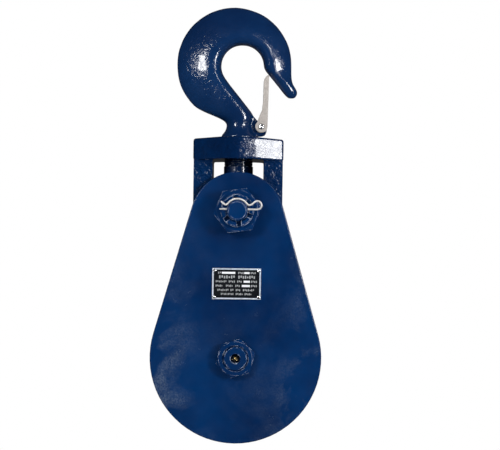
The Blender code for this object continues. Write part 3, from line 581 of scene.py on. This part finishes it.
class Finishes:
    """Every finish of the block, made once."""

    def __init__(self) -> None:
        """Make the groups and the materials."""
        groups = Groups()
        pin = (0.0, 0.0, middle("centre_pin").z)
        bolt = (0.0, 0.0, middle("top_bolt").z)
        kinds = {
            "hook": Enamel("hook_enamel", (0.0028, 0.0195, 0.070), (0.0018, 0.0105, 0.044),
                           roughness=0.15, lump_height=0.35, ripple_height=0.16, dust=0.1,
                           wear=0.36),
            "yoke": Enamel("yoke_enamel", roughness=0.17, lump_scale=48.0, ripple_scale=88.0,
                           ripple_height=0.75, bump=0.0016, dust=0.1, wear=0.45, wear_width=0.0016),
            "plate": Enamel("plate_enamel", roughness=0.2, coat=0.1, lump_scale=14.0,
                            lump_height=0.2, ripple_height=0.006, dust=0.5, wear=0.2, chips=1.0,
                            dust_scale=13.0, rubbed=(0.58, 0.62, 0.68)),
            # nut enamel: its bright bluish edge colour is a painted highlight along the edges of every
            # piece in it, as well as worn paint
            "nut": Enamel("nut_enamel", roughness=0.18, lump_scale=90.0, lump_height=0.1,
                          ripple_scale=300.0, ripple_height=0.06, dust=0.12, wear=0.53,
                          wear_width=0.0012, rubbed=(0.60, 0.70, 0.88)),
            "sheave": Enamel("sheave_enamel", lump_scale=60.0, lump_height=0.1, wear=0.5),
            "zinc": Metal("latch_zinc", (0.40, 0.37, 0.345), (0.25, 0.225, 0.21), 0.42, 420.0, 0.5,
                          metallic=0.35),
            "clip": Metal("clip_wire", (0.66, 0.65, 0.64), (0.40, 0.38, 0.36), 0.34, 200.0, 0.3,
                          metallic=0.45),
            "spring": Metal("spring_wire", (0.40, 0.39, 0.38), (0.20, 0.15, 0.11), 0.3, 180.0, 0.5),
            "steel": Metal("machined_steel", (0.52, 0.52, 0.53), (0.30, 0.26, 0.23), 0.3, 70.0, 0.5,
                           centre=pin),
            "bronze": Metal("bush_bronze", (0.62, 0.38, 0.15), (0.32, 0.20, 0.10), 0.3, 70.0, 0.5,
                            centre=pin),
            "brass": Metal("fitting_brass", (0.70, 0.55, 0.28), (0.35, 0.26, 0.14), 0.25, 160.0, 0.4,
                           centre=pin),
            "tread": Metal("rope_tread", (0.42, 0.42, 0.43), (0.20, 0.17, 0.15), 0.32, 60.0, 0.6,
                           centre=pin, ring_scale=220.0, bump=0.0002),
            "rim": Metal("nameplate_rim", (0.76, 0.83, 0.95), (0.42, 0.46, 0.54), 0.36, 200.0, 0.4,
                         metallic=0.8),
            "rivet": Metal("rivet_head", (0.85, 0.86, 0.88), (0.50, 0.50, 0.52), 0.25, 300.0, 0.3,
                           centre=bolt),
            "black": Print("nameplate_black", (0.003, 0.004, 0.006), (0.03, 0.03, 0.035), 0.34),
            "mark": Print("nameplate_marks", (0.30, 0.31, 0.32), (0.12, 0.12, 0.13), 0.5),
            "field": Print("nameplate_fields", (0.62, 0.63, 0.66), (0.35, 0.35, 0.37), 0.45),
        }
        self.materials = {key: kind.material(groups) for key, kind in kinds.items()}

    def __getitem__(self, key: str) -> Surface:
        """The material of a finish."""
        return self.materials[key]


# ---- modelling bench ----
@dataclass(frozen=True)
class Edge:
    """How the sharp edges of a traced piece are rounded."""

    width: float
    angle: float                    # edges sharper than this many degrees are rounded
    segments: int = 2
    flat: float = 0.3               # faces within this many degrees are joined into one first


class Bench:
    """Modelling moves that the sub-assemblies share, made with Blender's own operators."""

    def __init__(self, finishes: Finishes) -> None:
        """Keep the block's finishes at hand."""
        self.finishes = finishes

    @staticmethod
    def clear() -> None:
        """Leave edit mode and select nothing."""
        if bpy.context.object is not None and bpy.context.object.mode != "OBJECT":
            bpy.ops.object.mode_set(mode="OBJECT")
        bpy.ops.object.select_all(action="DESELECT")

    @classmethod
    def hold(cls, piece: Piece) -> None:
        """Make one object the only selected and active one, in object mode.

        Args:
            piece: the object.
        """
        cls.clear()
        piece.select_set(True)
        bpy.context.view_layer.objects.active = piece

    @classmethod
    def enter(cls, piece: Piece) -> None:
        """Go into edit mode on one object, with all of it selected.

        Args:
            piece: the object.
        """
        cls.hold(piece)
        bpy.ops.object.mode_set(mode="EDIT")
        bpy.ops.mesh.select_mode(type="VERT")
        bpy.ops.mesh.select_all(action="SELECT")

    @classmethod
    def modify(cls, piece: Piece, kind: str, **settings: object) -> None:
        """Add a modifier and apply it at once.

        Args:
            piece: the object.
            kind: Blender's modifier type.
            settings: the modifier's values.
        """
        cls.hold(piece)
        modifier = piece.modifiers.new(kind.title(), kind)
        for name, value in settings.items():
            setattr(modifier, name, value)
        bpy.ops.object.modifier_apply(modifier=modifier.name)

    @classmethod
    def shade(cls, piece: Piece, angle: float = 50.0) -> None:
        """Shade a piece smooth, with flats kept flat beside their rounded edges.

        Args:
            piece: the object.
            angle: edges sharper than this many degrees stay sharp.
        """
        cls.hold(piece)
        bpy.ops.object.shade_smooth_by_angle(angle=math.radians(angle))
        cls.modify(piece, "WEIGHTED_NORMAL", keep_sharp=True)

    @classmethod
    def soften(cls, piece: Piece, width: float, segments: int = 2, angle: float = 28.0) -> None:
        """Round the sharp edges of a piece.

        Args:
            piece: the object.
            width: the bevel's width.
            segments: the bevel's segments.
            angle: edges sharper than this many degrees are rounded.
        """
        cls.modify(piece, "BEVEL", width=width, segments=segments, limit_method="ANGLE",
                   angle_limit=math.radians(angle))

    @classmethod
    def traced(cls, node: str, name: str, flat: float = 0.0) -> Piece:
        """A merged copy of a CAD node's mesh, ready to be refined.

        Args:
            node: the CAD node.
            name: name of the copy.
            flat: faces within this many degrees of each other are joined into one. 0 joins none.

        Returns:
            The copy, at the node's place.
        """
        piece = bpy.data.objects.new(name, bpy.data.objects[node].data.copy())
        piece.data.materials.clear()
        bpy.context.scene.collection.objects.link(piece)
        cls.hold(piece)
        bpy.ops.mesh.customdata_custom_splitnormals_clear()
        cls.enter(piece)
        bpy.ops.mesh.remove_doubles(threshold=MERGE)
        if flat:
            bpy.ops.mesh.dissolve_limited(angle_limit=math.radians(flat))
        bpy.ops.object.mode_set(mode="OBJECT")
        return piece

    @classmethod
    def spun(cls, name: str, outline: Outline, centre: Vector, upright: bool = False,
             steps: int = 64, ring: bool = True) -> Piece:
        """Spin an outline into a turned piece.

        Args:
            name: name of the piece.
            outline: points as distance from the axis and distance along it.
            centre: a point on the axis that the outline's distances start from.
            upright: whether the axis is Z. It is Y otherwise.
            steps: faces round the piece.
            ring: whether the outline closes on itself, round a bore.

        Returns:
            The piece, closed and facing outwards.
        """
        along = Vector((0, 0, 1)) if upright else Vector((0, 1, 0))
        points = [centre + Vector((away, 0, 0)) + along * far for away, far in outline]
        if ring:
            points.append(points[0])
        cls.clear()
        bpy.ops.mesh.primitive_plane_add(size=0.001, location=points[0])
        piece = bpy.context.object
        piece.name = piece.data.name = name
        cls.rest(piece)
        cls.enter(piece)
        bpy.ops.mesh.merge(type="CENTER")
        for here, there in zip(points, points[1:]):
            bpy.ops.mesh.extrude_region_move(TRANSFORM_OT_translate={"value": there - here})
        bpy.ops.mesh.select_all(action="SELECT")
        bpy.ops.mesh.spin(steps=steps, angle=math.tau, center=centre, axis=along)
        bpy.ops.mesh.select_all(action="SELECT")
        bpy.ops.mesh.remove_doubles(threshold=MERGE)
        bpy.ops.mesh.dissolve_degenerate(threshold=MERGE)
        bpy.ops.mesh.select_all(action="SELECT")
        bpy.ops.mesh.normals_make_consistent(inside=False)
        bpy.ops.object.mode_set(mode="OBJECT")
        return piece

    @classmethod
    def block(cls, name: str, low: Vector, high: Vector) -> Piece:
        """A rectangular blank, its place in its mesh.

        Args:
            name: name of the piece.
            low: its lowest corner.
            high: its highest corner.

        Returns:
            The blank.
        """
        cls.clear()
        bpy.ops.mesh.primitive_cube_add(size=1.0, location=(low + high) / 2, scale=high - low)
        piece = bpy.context.object
        piece.name = piece.data.name = name
        cls.rest(piece)
        return piece

    @classmethod
    def rest(cls, piece: Piece) -> None:
        """Move a piece's place, turn and size into its mesh."""
        cls.hold(piece)
        bpy.ops.object.transform_apply(location=True, rotation=True, scale=True)

    @classmethod
    def pick_faces(cls, piece: Piece, wanted: Callable[[bmesh.types.BMFace], bool]) -> None:
        """Select, in edit mode, the faces that a test accepts, and no others.

        Args:
            piece: the object being edited.
            wanted: the test.
        """
        bpy.ops.mesh.select_mode(type="FACE")
        bpy.ops.mesh.select_all(action="DESELECT")
        mesh = bmesh.from_edit_mesh(piece.data)
        for face in mesh.faces:
            face.select_set(bool(wanted(face)))
        bmesh.update_edit_mesh(piece.data)

    @classmethod
    def joined(cls, pieces: list[Piece], name: str) -> Piece:
        """Join objects into one.

        Args:
            pieces: the objects.
            name: name of the joined piece.

        Returns:
            The joined piece.
        """
        cls.hold(pieces[0])
        for piece in pieces:
            piece.select_set(True)
        bpy.ops.object.join()
        pieces[0].name = pieces[0].data.name = name
        return pieces[0]

    @classmethod
    def smoothed(cls, piece: Piece, flat: float) -> None:
        """Pair a traced mesh's triangles and subdivide it, for a shape that is round all over.

        Args:
            piece: the object.
            flat: triangles within this many degrees of each other are paired.
        """
        cls.enter(piece)
        bpy.ops.mesh.tris_convert_to_quads(face_threshold=math.radians(flat),
                                           shape_threshold=math.radians(flat + 20))
        bpy.ops.object.mode_set(mode="OBJECT")
        cls.modify(piece, "SUBSURF", levels=2, render_levels=2)

    def refined(self, node: str, made: str, edge: Edge, finish: str, slot: Slot, body: Body) -> None:
        """Trace a CAD node, round its edges and dress it.

        Args:
            node: the CAD node, which the piece replaces.
            made: how it is made, which ends the piece's name.
            edge: how its edges are rounded.
            finish: its finish.
            slot: its material slot in the record.
            body: the body that it rides on.
        """
        piece = self.traced(node, f"{node}_{made}", edge.flat)
        self.soften(piece, edge.width, edge.segments, edge.angle)
        self.shade(piece)
        self.dress(piece, finish, slot, body, node)

    def wire(self, node: str, finish: str, body: Body) -> None:
        """Trace a CAD node of bent wire, round it off and dress it.

        Args:
            node: the CAD node, which the piece replaces.
            finish: its finish.
            body: the body that it rides on.
        """
        piece = self.traced(node, node + "_wire")
        self.smoothed(piece, 50)
        self.shade(piece, 60)
        self.dress(piece, finish, Slot.STEEL, body, node)

    def washer(self, node: str, bore: float, finish: str, slot: Slot, body: Body,
               upright: bool = False, steps: int = 72) -> None:
        """Turn a flat washer, as wide and as thick as its CAD node, and dress it.

        Args:
            node: the CAD node, which the piece replaces.
            bore: radius of its bore.
            finish: its finish.
            slot: its material slot in the record.
            body: the body that it rides on.
            upright: whether its axis is Z. It is Y otherwise.
            steps: faces round it.
        """
        extent = size(node)
        outer, half = extent.x / 2, (extent.z if upright else extent.y) / 2
        outline = [(bore, -half), (outer, -half), (outer, half), (bore, half)]
        ring = self.spun(node + "_turned", outline, middle(node), upright, steps)
        self.soften(ring, 0.0005)
        self.shade(ring)
        self.dress(ring, finish, slot, body, node)

    def dress(self, piece: Piece, finish: str, slot: Slot, body: Body, *nodes: str) -> None:
        """Give a finished piece its material and its body, and hide the nodes that it stands for.

        Args:
            piece: the finished piece.
            finish: its finish.
            slot: its material slot in the record. Not used.
            body: the body that it rides on.
            nodes: the CAD nodes that it replaces.
        """
        if not piece.data.materials:
            piece.data.materials.append(self.finishes[finish])
        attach(piece, body.value)
        if nodes:
            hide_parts(*nodes)
        LOG.info("%s: %d faces, rides on %s", piece.name, len(piece.data.polygons), body.value)

    def coat(self, node: str, finish: str) -> None:
        """Keep a CAD node's shape and give it a finish.

        Args:
            node: the CAD node.
            finish: its finish.
        """
        item = bpy.data.objects[node]
        for slot in item.material_slots:
            slot.material = self.finishes[finish]
        LOG.info("%s: kept, finished as %s", node, finish)


def middle(node: str) -> Vector:
    """Centre of a CAD node's box."""
    low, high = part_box(node)
    return (low + high) / 2


def size(node: str) -> Vector:
    """Width, depth and height of a CAD node's box."""
    low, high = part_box(node)
    return high - low


# ---- sub-assemblies ----
@dataclass
class HookAssembly:
    """Forged swivel hook with its nut, washers and pins."""

    bench: Bench
    skin: float = 0.0013            # voxel of the forging's skin
    melt: int = 5                   # rounds of smoothing where the lug runs into the neck
    lump: float = 0.0009            # unevenness of the forging
    lump_size: float = 0.030
    washer_wall: float = 0.0067     # of the washers under the crosshead
    pin_head: float = 0.0022        # height of the latch pin's peened heads

    def build(self) -> None:
        """Build and dress every piece of the hook."""
        self._forging()
        self._hardware()

    def _forging(self) -> None:
        """The hook itself: one skin over body, neck, collar, shank and latch lug."""
        hook = self.bench.traced("hook", "hook_forging")
        self.bench.smoothed(hook, 40)
        self.bench.modify(hook, "REMESH", mode="VOXEL", voxel_size=self.skin, use_smooth_shade=True)
        self.bench.modify(hook, "SMOOTH", factor=0.5, iterations=self.melt)
        unevenness = bpy.data.textures.new("forging_lumps", "CLOUDS")
        unevenness.noise_scale = self.lump_size
        self.bench.modify(hook, "DISPLACE", texture=unevenness, texture_coords="LOCAL",
                          strength=self.lump, mid_level=0.5)
        self.bench.hold(hook)
        bpy.ops.object.shade_smooth()
        self.bench.dress(hook, "hook", Slot.PAINT, Body.HOOK, "hook")

    def _hardware(self) -> None:
        """Nut, washers and pins that hold the hook in the crosshead, and the latch's pin."""
        bore = size("hook_thrust_washer").x / 2 - self.washer_wall
        for node, slot in (("hook_thrust_washer", Slot.STEEL), ("hook_bronze_washer", Slot.BRONZE)):
            self.bench.washer(node, bore, "nut", slot, Body.HOOK, upright=True, steps=64)
        self.bench.refined("hook_nut", "turned", Edge(0.0006, 35, flat=0.5), "nut", Slot.PAINT,
                           Body.HOOK)
        self.bench.coat("hook_nut_pin", "steel")

        outer, half = size("latch_pin").x / 2, size("latch_pin").y / 2
        head, pin = self.pin_head, outer * 0.68
        side = [(pin, half - head), (outer, half - head), (outer, half - head * 0.55),
                (outer * 0.86, half - head * 0.18), (outer * 0.58, half), (outer * 0.42, half - 0.0002),
                (outer * 0.38, half - 0.0009), (0.0, half - 0.0011)]
        outline = [(away, -far) for away, far in reversed(side)] + side
        rivet = self.bench.spun("latch_pin_peened", outline, middle("latch_pin"), ring=False, steps=40)
        self.bench.shade(rivet, 40)
        self.bench.dress(rivet, "rivet", Slot.ZINC, Body.HOOK, "latch_pin")


@dataclass
class LatchAssembly:
    """Pressed sheet latch and its torsion spring."""

    bench: Bench
    fold: Edge = Edge(0.0009, 40, 3, 0.5)

    def build(self) -> None:
        """Build and dress the latch and its spring."""
        self.bench.refined("latch", "pressing", self.fold, "zinc", Slot.ZINC, Body.LATCH)
        self.bench.wire("latch_spring", "spring", Body.LATCH)


@dataclass
class YokeAssembly:
    """Forked yoke with its arched crosshead."""

    bench: Bench
    edge: Edge = Edge(0.0026, 38, 3)

    def build(self) -> None:
        """Build and dress the yoke."""
        self.bench.refined("yoke", "forging", self.edge, "yoke", Slot.PAINT, Body.YOKE)


@dataclass
class PlateAssembly:
    """Cheeks, centre plate and the riveted nameplate."""

    bench: Bench
    edge: Edge = Edge(0.0007, 25)
    rim: float = 0.0021             # bright rim of the nameplate
    ramp: float = 0.0003            # from the rim down to the black field
    sink: float = 0.00025           # black field below the rim
    margin: float = 0.001           # from the rim to the widest row
    print_rise: float = 0.00012
    bed: float = 0.00003            # how deep the marks stand in the black field
    stagger: tuple[float, ...] = (0.0, 0.28, 0.0, 0.0, 0.16)    # shares cut off the marks' ends
    rows: tuple[Row, ...] = (
        # height of a row's middle and of its marks, then start, end and whether it is a blank field
        (0.0170, 0.0030, ((0.08, 0.16, False), (0.17, 0.47, True), (0.53, 0.66, False),
                          (0.67, 0.79, True), (0.81, 0.93, False))),
        (0.0105, 0.0046, ((0.10, 0.47, False), (0.53, 0.92, False))),
        (0.0035, 0.0032, ((0.03, 0.28, False), (0.32, 0.47, False), (0.51, 0.62, False),
                          (0.66, 0.80, True), (0.82, 0.96, False))),
        (-0.0032, 0.0032, ((0.03, 0.19, False), (0.26, 0.42, False), (0.47, 0.58, False),
                           (0.62, 0.80, True), (0.82, 0.96, False))),
        (-0.0098, 0.0032, ((0.07, 0.33, False), (0.36, 0.44, False), (0.48, 0.59, False),
                           (0.64, 0.90, False))),
        (-0.0160, 0.0030, ((0.15, 0.44, False), (0.48, 0.65, False), (0.68, 0.84, False))),
    )
    mark_pitch: float = 0.76        # from one generic mark to the next, as a share of its height
    mark_width: float = 0.58        # share of the pitch that a mark takes

    def build(self) -> None:
        """Build and dress the plates and the nameplate."""
        for node in ("front_cheek", "rear_cheek", "centre_plate"):
            self.bench.refined(node, "cut", self.edge, "plate", Slot.PAINT, Body.PLATES)
        self._nameplate()
        self._marks()
        self._rivets()

    def _nameplate(self) -> None:
        """The pressed nameplate: a bright rim round a sunk black field."""
        low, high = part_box("nameplate")
        plate = self.bench.block("nameplate_pressed", low, high)
        self.bench.enter(plate)
        self.bench.pick_faces(plate, lambda face: face.normal.y < FRONTAL)
        bpy.ops.mesh.inset(thickness=self.rim, depth=0.0)
        bpy.ops.mesh.inset(thickness=self.ramp, depth=-self.sink)
        bpy.ops.object.mode_set(mode="OBJECT")
        for finish in ("rim", "black"):
            plate.data.materials.append(self.bench.finishes[finish])
        most = (high.x - low.x) * (high.z - low.z) / 2
        for face in plate.data.polygons:
            face.material_index = int(face.normal.y < FRONTAL and face.area > most)
        self.bench.soften(plate, 0.00025, 2, 60)
        self.bench.shade(plate)
        self.bench.dress(plate, "rim", Slot.PLATE, Body.PLATES, "nameplate")

    def _marks(self) -> None:
        """Rows of generic raised marks and blank fields on the black field. They spell nothing."""
        low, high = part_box("nameplate")
        left = low.x + self.rim + self.margin
        span = high.x - low.x - 2 * (self.rim + self.margin)
        face_y = low.y + self.sink - self.bed
        centre_z = (low.z + high.z) / 2
        for finish, blank in (("mark", False), ("field", True)):
            blocks = []
            for rise, tall, runs in self.rows:
                for start, end, is_blank in runs:
                    if is_blank != blank:
                        continue
                    blocks += self._run(left + span * start, left + span * end, face_y,
                                        centre_z + rise, tall, is_blank)
            marks = self.bench.joined(blocks, f"nameplate_{finish}_rows")
            self.bench.shade(marks, 20)
            self.bench.dress(marks, finish, Slot.PLATE, Body.PLATES)

    def _run(self, left: float, right: float, face_y: float, z: float, tall: float,
             blank: bool) -> list[Piece]:
        """One run of marks in a row, or one blank field.

        Args:
            left: where the run starts across the plate.
            right: where it ends.
            face_y: the black field's surface.
            z: the row's middle.
            tall: height of the marks.
            blank: whether this is one blank field.

        Returns:
            The blocks of the run.
        """
        count = 1 if blank else max(1, round((right - left) / (tall * self.mark_pitch)))
        pitch = (right - left) / count
        wide = pitch if blank else pitch * self.mark_width
        shoulder = 0.0002 if blank else wide * 0.12
        ends = (0.0,) if blank else self.stagger
        blocks = []
        for i in range(count):
            x = left + pitch * (i + 0.5)
            foot = z - tall / 2 + tall * ends[i % len(ends)]
            head = z + tall / 2 - tall * ends[(i + 2) % len(ends)]
            block = self.bench.block("mark", Vector((x - wide / 2, face_y - self.print_rise, foot)),
                                     Vector((x + wide / 2, face_y, head)))
            self.bench.enter(block)
            self.bench.pick_faces(block, lambda face: face.normal.y < FRONTAL)
            bpy.ops.mesh.inset(thickness=shoulder, depth=self.print_rise * 0.4)
            bpy.ops.object.mode_set(mode="OBJECT")
            blocks.append(block)
        return blocks

    def _rivets(self) -> None:
        """One domed rivet, turned once and copied to the four corners."""
        first = "nameplate_rivet_1"
        low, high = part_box(first)
        outer, tip = (high.x - low.x) / 2, low.y
        neck_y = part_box("nameplate")[0].y - GAP
        start = middle(first) * Vector((1, 0, 1))
        stem = outer * 0.45
        outline = [(0.0, high.y), (stem, high.y), (stem, neck_y), (outer, neck_y)]
        for turn in range(15, 91, 15):
            outline.append((outer * math.cos(math.radians(turn)),
                            neck_y + (tip - neck_y) * math.sin(math.radians(turn))))
        outline[-1] = (0.0, tip)
        rivet = self.bench.spun(first + "_head", outline, start, ring=False, steps=32)
        self.bench.shade(rivet, 40)
        copies = [rivet]
        for number in (2, 3, 4):
            node = f"nameplate_rivet_{number}"
            copy = bpy.data.objects.new(node + "_head", rivet.data.copy())
            bpy.context.scene.collection.objects.link(copy)
            copy.location = middle(node) - middle(first)
            self.bench.rest(copy)
            copies.append(copy)
        for number, copy in enumerate(copies, start=1):
            self.bench.dress(copy, "rivet", Slot.STEEL, Body.PLATES, f"nameplate_rivet_{number}")


@dataclass
class SheaveAssembly:
    """Sheaves with their bushes and thrust washers."""

    bench: Bench
    rope: float = 0.0135            # groove radius
    depth: float = 0.0275           # groove depth
    hub: float = 0.041
    web: float = 0.008
    rim_wall: float = 0.0135
    lip: float = 0.0045
    step: float = 0.001
    wall: float = 0.006             # of the bush
    arc: tuple[float, float] = (115.0, 245.0)   # of the groove, in degrees
    arc_steps: int = 16
    oil_groove: Triple = (0.0014, 0.0010, 0.0018)   # depth, half floor, half mouth

    def build(self) -> None:
        """Build and dress both sheaves and what runs beside them."""
        for side, body in ((Side.FRONT, Body.FRONT_SHEAVE), (Side.REAR, Body.REAR_SHEAVE)):
            self._sheave(side, body)
            self._bush(side, body)
            bore = size("front_bush").x / 2 - self.wall
            for place in ("inner", "outer"):
                self.bench.washer(f"{side.word}_{place}_thrust_washer", bore, "bronze", Slot.BRONZE,
                                  Body.PLATES)

    def _sheave(self, side: Side, body: Body) -> None:
        """One sheave, spun from a rounded half section.

        Args:
            side: the half of the block that it is in.
            body: the body that it rides on.
        """
        node = side.word + "_sheave"
        outer, half = size(node).x / 2, size(node).y / 2
        bore = size(side.word + "_bush").x / 2 + GAP
        tread, rim = outer - self.depth, half - self.step
        under = tread - self.rim_wall
        half_side = [(bore, half), (self.hub, half), (self.hub + 0.004, self.web), (under, self.web),
                     (under + 0.008, rim), (outer, rim), (outer, rim - self.lip)]
        groove = []
        start, end = self.arc
        for i in range(1, self.arc_steps):
            turn = math.radians(start + (end - start) * i / self.arc_steps)
            groove.append((tread + self.rope * (1 + math.cos(turn)), self.rope * math.sin(turn)))
        outline = half_side + groove + [(away, -far) for away, far in reversed(half_side)]
        sheave = self.bench.spun(node + "_turned", outline, middle(node), steps=128)
        self.bench.soften(sheave, 0.0012, 3, 30)
        for finish in ("sheave", "tread"):
            sheave.data.materials.append(self.bench.finishes[finish])
        centre = middle(node)
        for face in sheave.data.polygons:
            away = Vector((face.center.x - centre.x, face.center.z - centre.z)).length
            in_groove = abs(face.center.y - centre.y) < self.rope + 0.002
            if in_groove and away > tread - 0.001 and face.center.y != centre.y:
                face.material_index = 1
        self.bench.shade(sheave)
        self.bench.dress(sheave, "sheave", Slot.PAINT, body, node)

    def _bush(self, side: Side, body: Body) -> None:
        """The bronze bush, with its grease groove open to the bore.

        Args:
            side: the half of the block that it is in.
            body: the body that it rides on.
        """
        node = side.word + "_bush"
        outer, half = size(node).x / 2, size(node).y / 2
        inner = outer - self.wall
        deep, floor, mouth = self.oil_groove
        outline = [(inner, -half), (outer, -half), (outer, half), (inner, half), (inner, mouth),
                   (inner + deep, floor), (inner + deep, -floor), (inner, -mouth)]
        bush = self.bench.spun(node + "_turned", outline, middle(node), steps=72)
        self.bench.soften(bush, 0.0004, 2, 50)
        self.bench.shade(bush)
        self.bench.dress(bush, "bronze", Slot.BRONZE, body, node)


@dataclass
class PinAssembly:
    """Centre pin with its low nuts and grease fittings."""

    bench: Bench
    pin_edge: Edge = Edge(0.0004, 40)
    nut_edge: Edge = Edge(0.0006, 24)

    def build(self) -> None:
        """Build and dress the pin, its nuts and its fittings."""
        self.bench.refined("centre_pin", "ground", self.pin_edge, "nut", Slot.STEEL, Body.PLATES)
        for side in Side:
            self.bench.refined(side.word + "_pin_nut", "milled", self.nut_edge, "nut", Slot.PAINT,
                               Body.PLATES)
            self._fitting(side)

    def _fitting(self, side: Side) -> None:
        """A turned grease fitting: foot, flange, waist, and ball nose with its check ball.

        Args:
            side: the half of the block that it is in.
        """
        node = side.word + "_grease_fitting"
        low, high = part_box(node)
        start = middle(node)
        start.y = high.y if side is Side.FRONT else low.y
        wide, reach = (high.x - low.x) / 2, high.y - low.y
        outline = [(0.0, 0.0), (wide * 0.63, 0.0), (wide * 0.63, 0.0063), (wide, 0.0063),
                   (wide, 0.0094), (wide * 0.80, 0.0100), (wide * 0.50, 0.0106), (wide * 0.46, 0.0118),
                   (wide * 0.66, 0.0127), (wide * 0.72, 0.0135), (wide * 0.66, 0.0143),
                   (wide * 0.45, reach - 0.0004), (wide * 0.26, reach - 0.0004),
                   (wide * 0.22, reach - 0.0006), (wide * 0.16, reach - 0.0001), (0.0, reach)]
        outline = [(far, side.value * along) for far, along in outline]
        fitting = self.bench.spun(node + "_turned", outline, start, ring=False, steps=36)
        self.bench.shade(fitting, 40)
        self.bench.dress(fitting, "brass", Slot.BRASS, Body.PLATES, node)


@dataclass
class BoltAssembly:
    """Load bolt, slotted crown nut and hairpin clip."""

    bench: Bench
    bolt_edge: Edge = Edge(0.0007, 24)
    nut_edge: Edge = Edge(0.0008, 24, 3)

    def build(self) -> None:
        """Build and dress the load bolt, its nut and its clip."""
        self.bench.refined("top_bolt", "forged", self.bolt_edge, "nut", Slot.PAINT, Body.PLATES)
        self.bench.refined("top_nut", "crowned", self.nut_edge, "nut", Slot.PAINT, Body.PLATES)
        self.bench.wire("hairpin_clip", "clip", Body.PLATES)


# ---- studio ----
FILL_AIM = -0.2         # height of the block's middle, which the fills point at


@dataclass(frozen=True)
class SoftBox:
    """A soft box that faces the block. A fill lights the block and isn't mirrored in it."""

    name: str
    azimuth: float                  # degrees round from the front, positive to the right
    height: float
    wide: float
    tall: float
    power: float
    fill: bool = False
    flagged: tuple[str, ...] = ()   # pieces that it is flagged off

    def hang(self, reach: float) -> None:
        """Add the light to the scene, at a distance from the block's axis.

        Args:
            reach: that distance.
        """
        light = bpy.data.lights.new(self.name, "AREA")
        light.shape = "RECTANGLE"
        light.size, light.size_y = self.wide, self.tall
        light.energy = self.power
        item = bpy.data.objects.new(self.name, light)
        turn = math.radians(self.azimuth)
        place = Vector((reach * math.sin(turn), -reach * math.cos(turn), self.height))
        item.location = place
        aim = Vector((0.0, 0.0, FILL_AIM if self.fill else self.height))
        item.rotation_euler = (aim - place).to_track_quat("-Z", "Y").to_euler()
        item.visible_camera = False
        item.visible_glossy = not self.fill
        bpy.context.scene.collection.objects.link(item)
        if self.flagged:
            flags = bpy.data.collections.new(self.name + "_flags")
            for number, piece in enumerate(self.flagged):
                flags.objects.link(bpy.data.objects[piece])
                flags.collection_objects[number].light_linking.link_state = "EXCLUDE"
            item.light_linking.receiver_collection = flags


@dataclass
class Studio:
    """Camera, soft boxes, pale floor and surroundings."""

    lens: float = 108.0
    eye: Triple = (0.0198, -2.405, -0.2882)
    roll: float = math.radians(0.82)
    floor_drop: float = 0.35
    floor_size: float = 4.2
    reach: float = 1.7              # soft boxes from the block
    glow: float = 0.12              # of the floor
    mirrored: tuple[float, float] = (0.01, 0.035)       # what the block mirrors, front and back
    ambient: float = 0.20           # what it is lit by from all round
    boxes: tuple[SoftBox, ...] = (
        SoftBox("left_box", -32.0, 0.18, 0.38, 0.36, 16.0, flagged=("yoke_forging",)),
        SoftBox("nose_box", 28.0, 0.48, 0.10, 0.30, 3.0),
        SoftBox("right_box", 46.0, -0.08, 0.36, 0.38, 22.0),
        SoftBox("front_fill", -20.0, 1.1, 1.4, 0.9, 11.0, True),
        SoftBox("side_fill", 60.0, 0.7, 1.0, 1.0, 4.0, True),
        SoftBox("back_fill", 170.0, 0.9, 1.2, 0.9, 16.0, True),
    )

    def build(self) -> None:
        """Set up everything round the block."""
        self._camera()
        self._floor()
        self._surroundings()
        for box in self.boxes:
            box.hang(self.reach)
        bpy.context.scene.view_settings.view_transform = "Standard"

    def _camera(self) -> None:
        """The camera, level with the middle of the block and a touch rolled."""
        camera = bpy.data.cameras.new("camera")
        camera.lens = self.lens
        camera.sensor_width = 36.0
        item = bpy.data.objects.new("camera", camera)
        item.matrix_world = (Matrix.Translation(self.eye) @ Matrix.Rotation(math.pi / 2, 4, "X")
                             @ Matrix.Rotation(self.roll, 4, "Z"))
        bpy.context.scene.collection.objects.link(item)
        bpy.context.scene.camera = item

    def _floor(self) -> None:
        """A wide pale floor below the hanging block."""
        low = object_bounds()[0]
        Bench.clear()
        bpy.ops.mesh.primitive_plane_add(size=self.floor_size,
                                         location=(0, 0, low[2] - self.floor_drop))
        floor = bpy.context.object
        floor.name = "floor"
        Bench.rest(floor)
        surface, sheet, shader = start_material("pale_floor")
        tone = sheet.noise(sheet.placed(), 3.0, 3.0)
        sheet.feed(shader, Base_Color=sheet.blend(tone, (0.88, 0.88, 0.88), (0.92, 0.92, 0.92)),
                   Roughness=0.9, Emission_Color=(1.0, 1.0, 1.0), Emission_Strength=self.glow)
        floor.data.materials.append(surface)
        floor.visible_glossy = False
        floor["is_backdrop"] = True

    def _surroundings(self) -> None:
        """White behind the block, a dim studio for what the block mirrors and is lit by."""
        world = bpy.data.worlds.new("studio")
        bpy.context.scene.world = world
        world.use_nodes = True
        sheet = Sheet(world.node_tree)
        background = world.node_tree.nodes["Background"]
        rays = sheet.add("LightPath")
        direction = sheet.split(sheet.add("TexCoord").outputs["Generated"])
        behind = sheet.remap(direction.outputs["Y"], (-0.5, 0.4), self.mirrored)
        lit = rays.outputs["Is Diffuse Ray"]
        dim = sheet.maths("MULTIPLY", behind, sheet.maths("SUBTRACT", 1.0, lit))
        rest = sheet.maths("ADD", dim, sheet.maths("MULTIPLY", lit, self.ambient))
        strength = sheet.maths("MAXIMUM", rest, rays.outputs["Is Camera Ray"])
        sheet.feed(background, Color=(1.0, 1.0, 1.0), Strength=strength)


def main() -> None:
    """Build every sub-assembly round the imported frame, then the studio."""
    logging.basicConfig(level=logging.INFO, format="%(name)s %(message)s")
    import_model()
    bench = Bench(Finishes())
    for assembly in (HookAssembly, LatchAssembly, YokeAssembly, PlateAssembly, SheaveAssembly,
                     PinAssembly, BoltAssembly):
        assembly(bench).build()
    Studio().build()


if __name__ == "__main__":
    main()
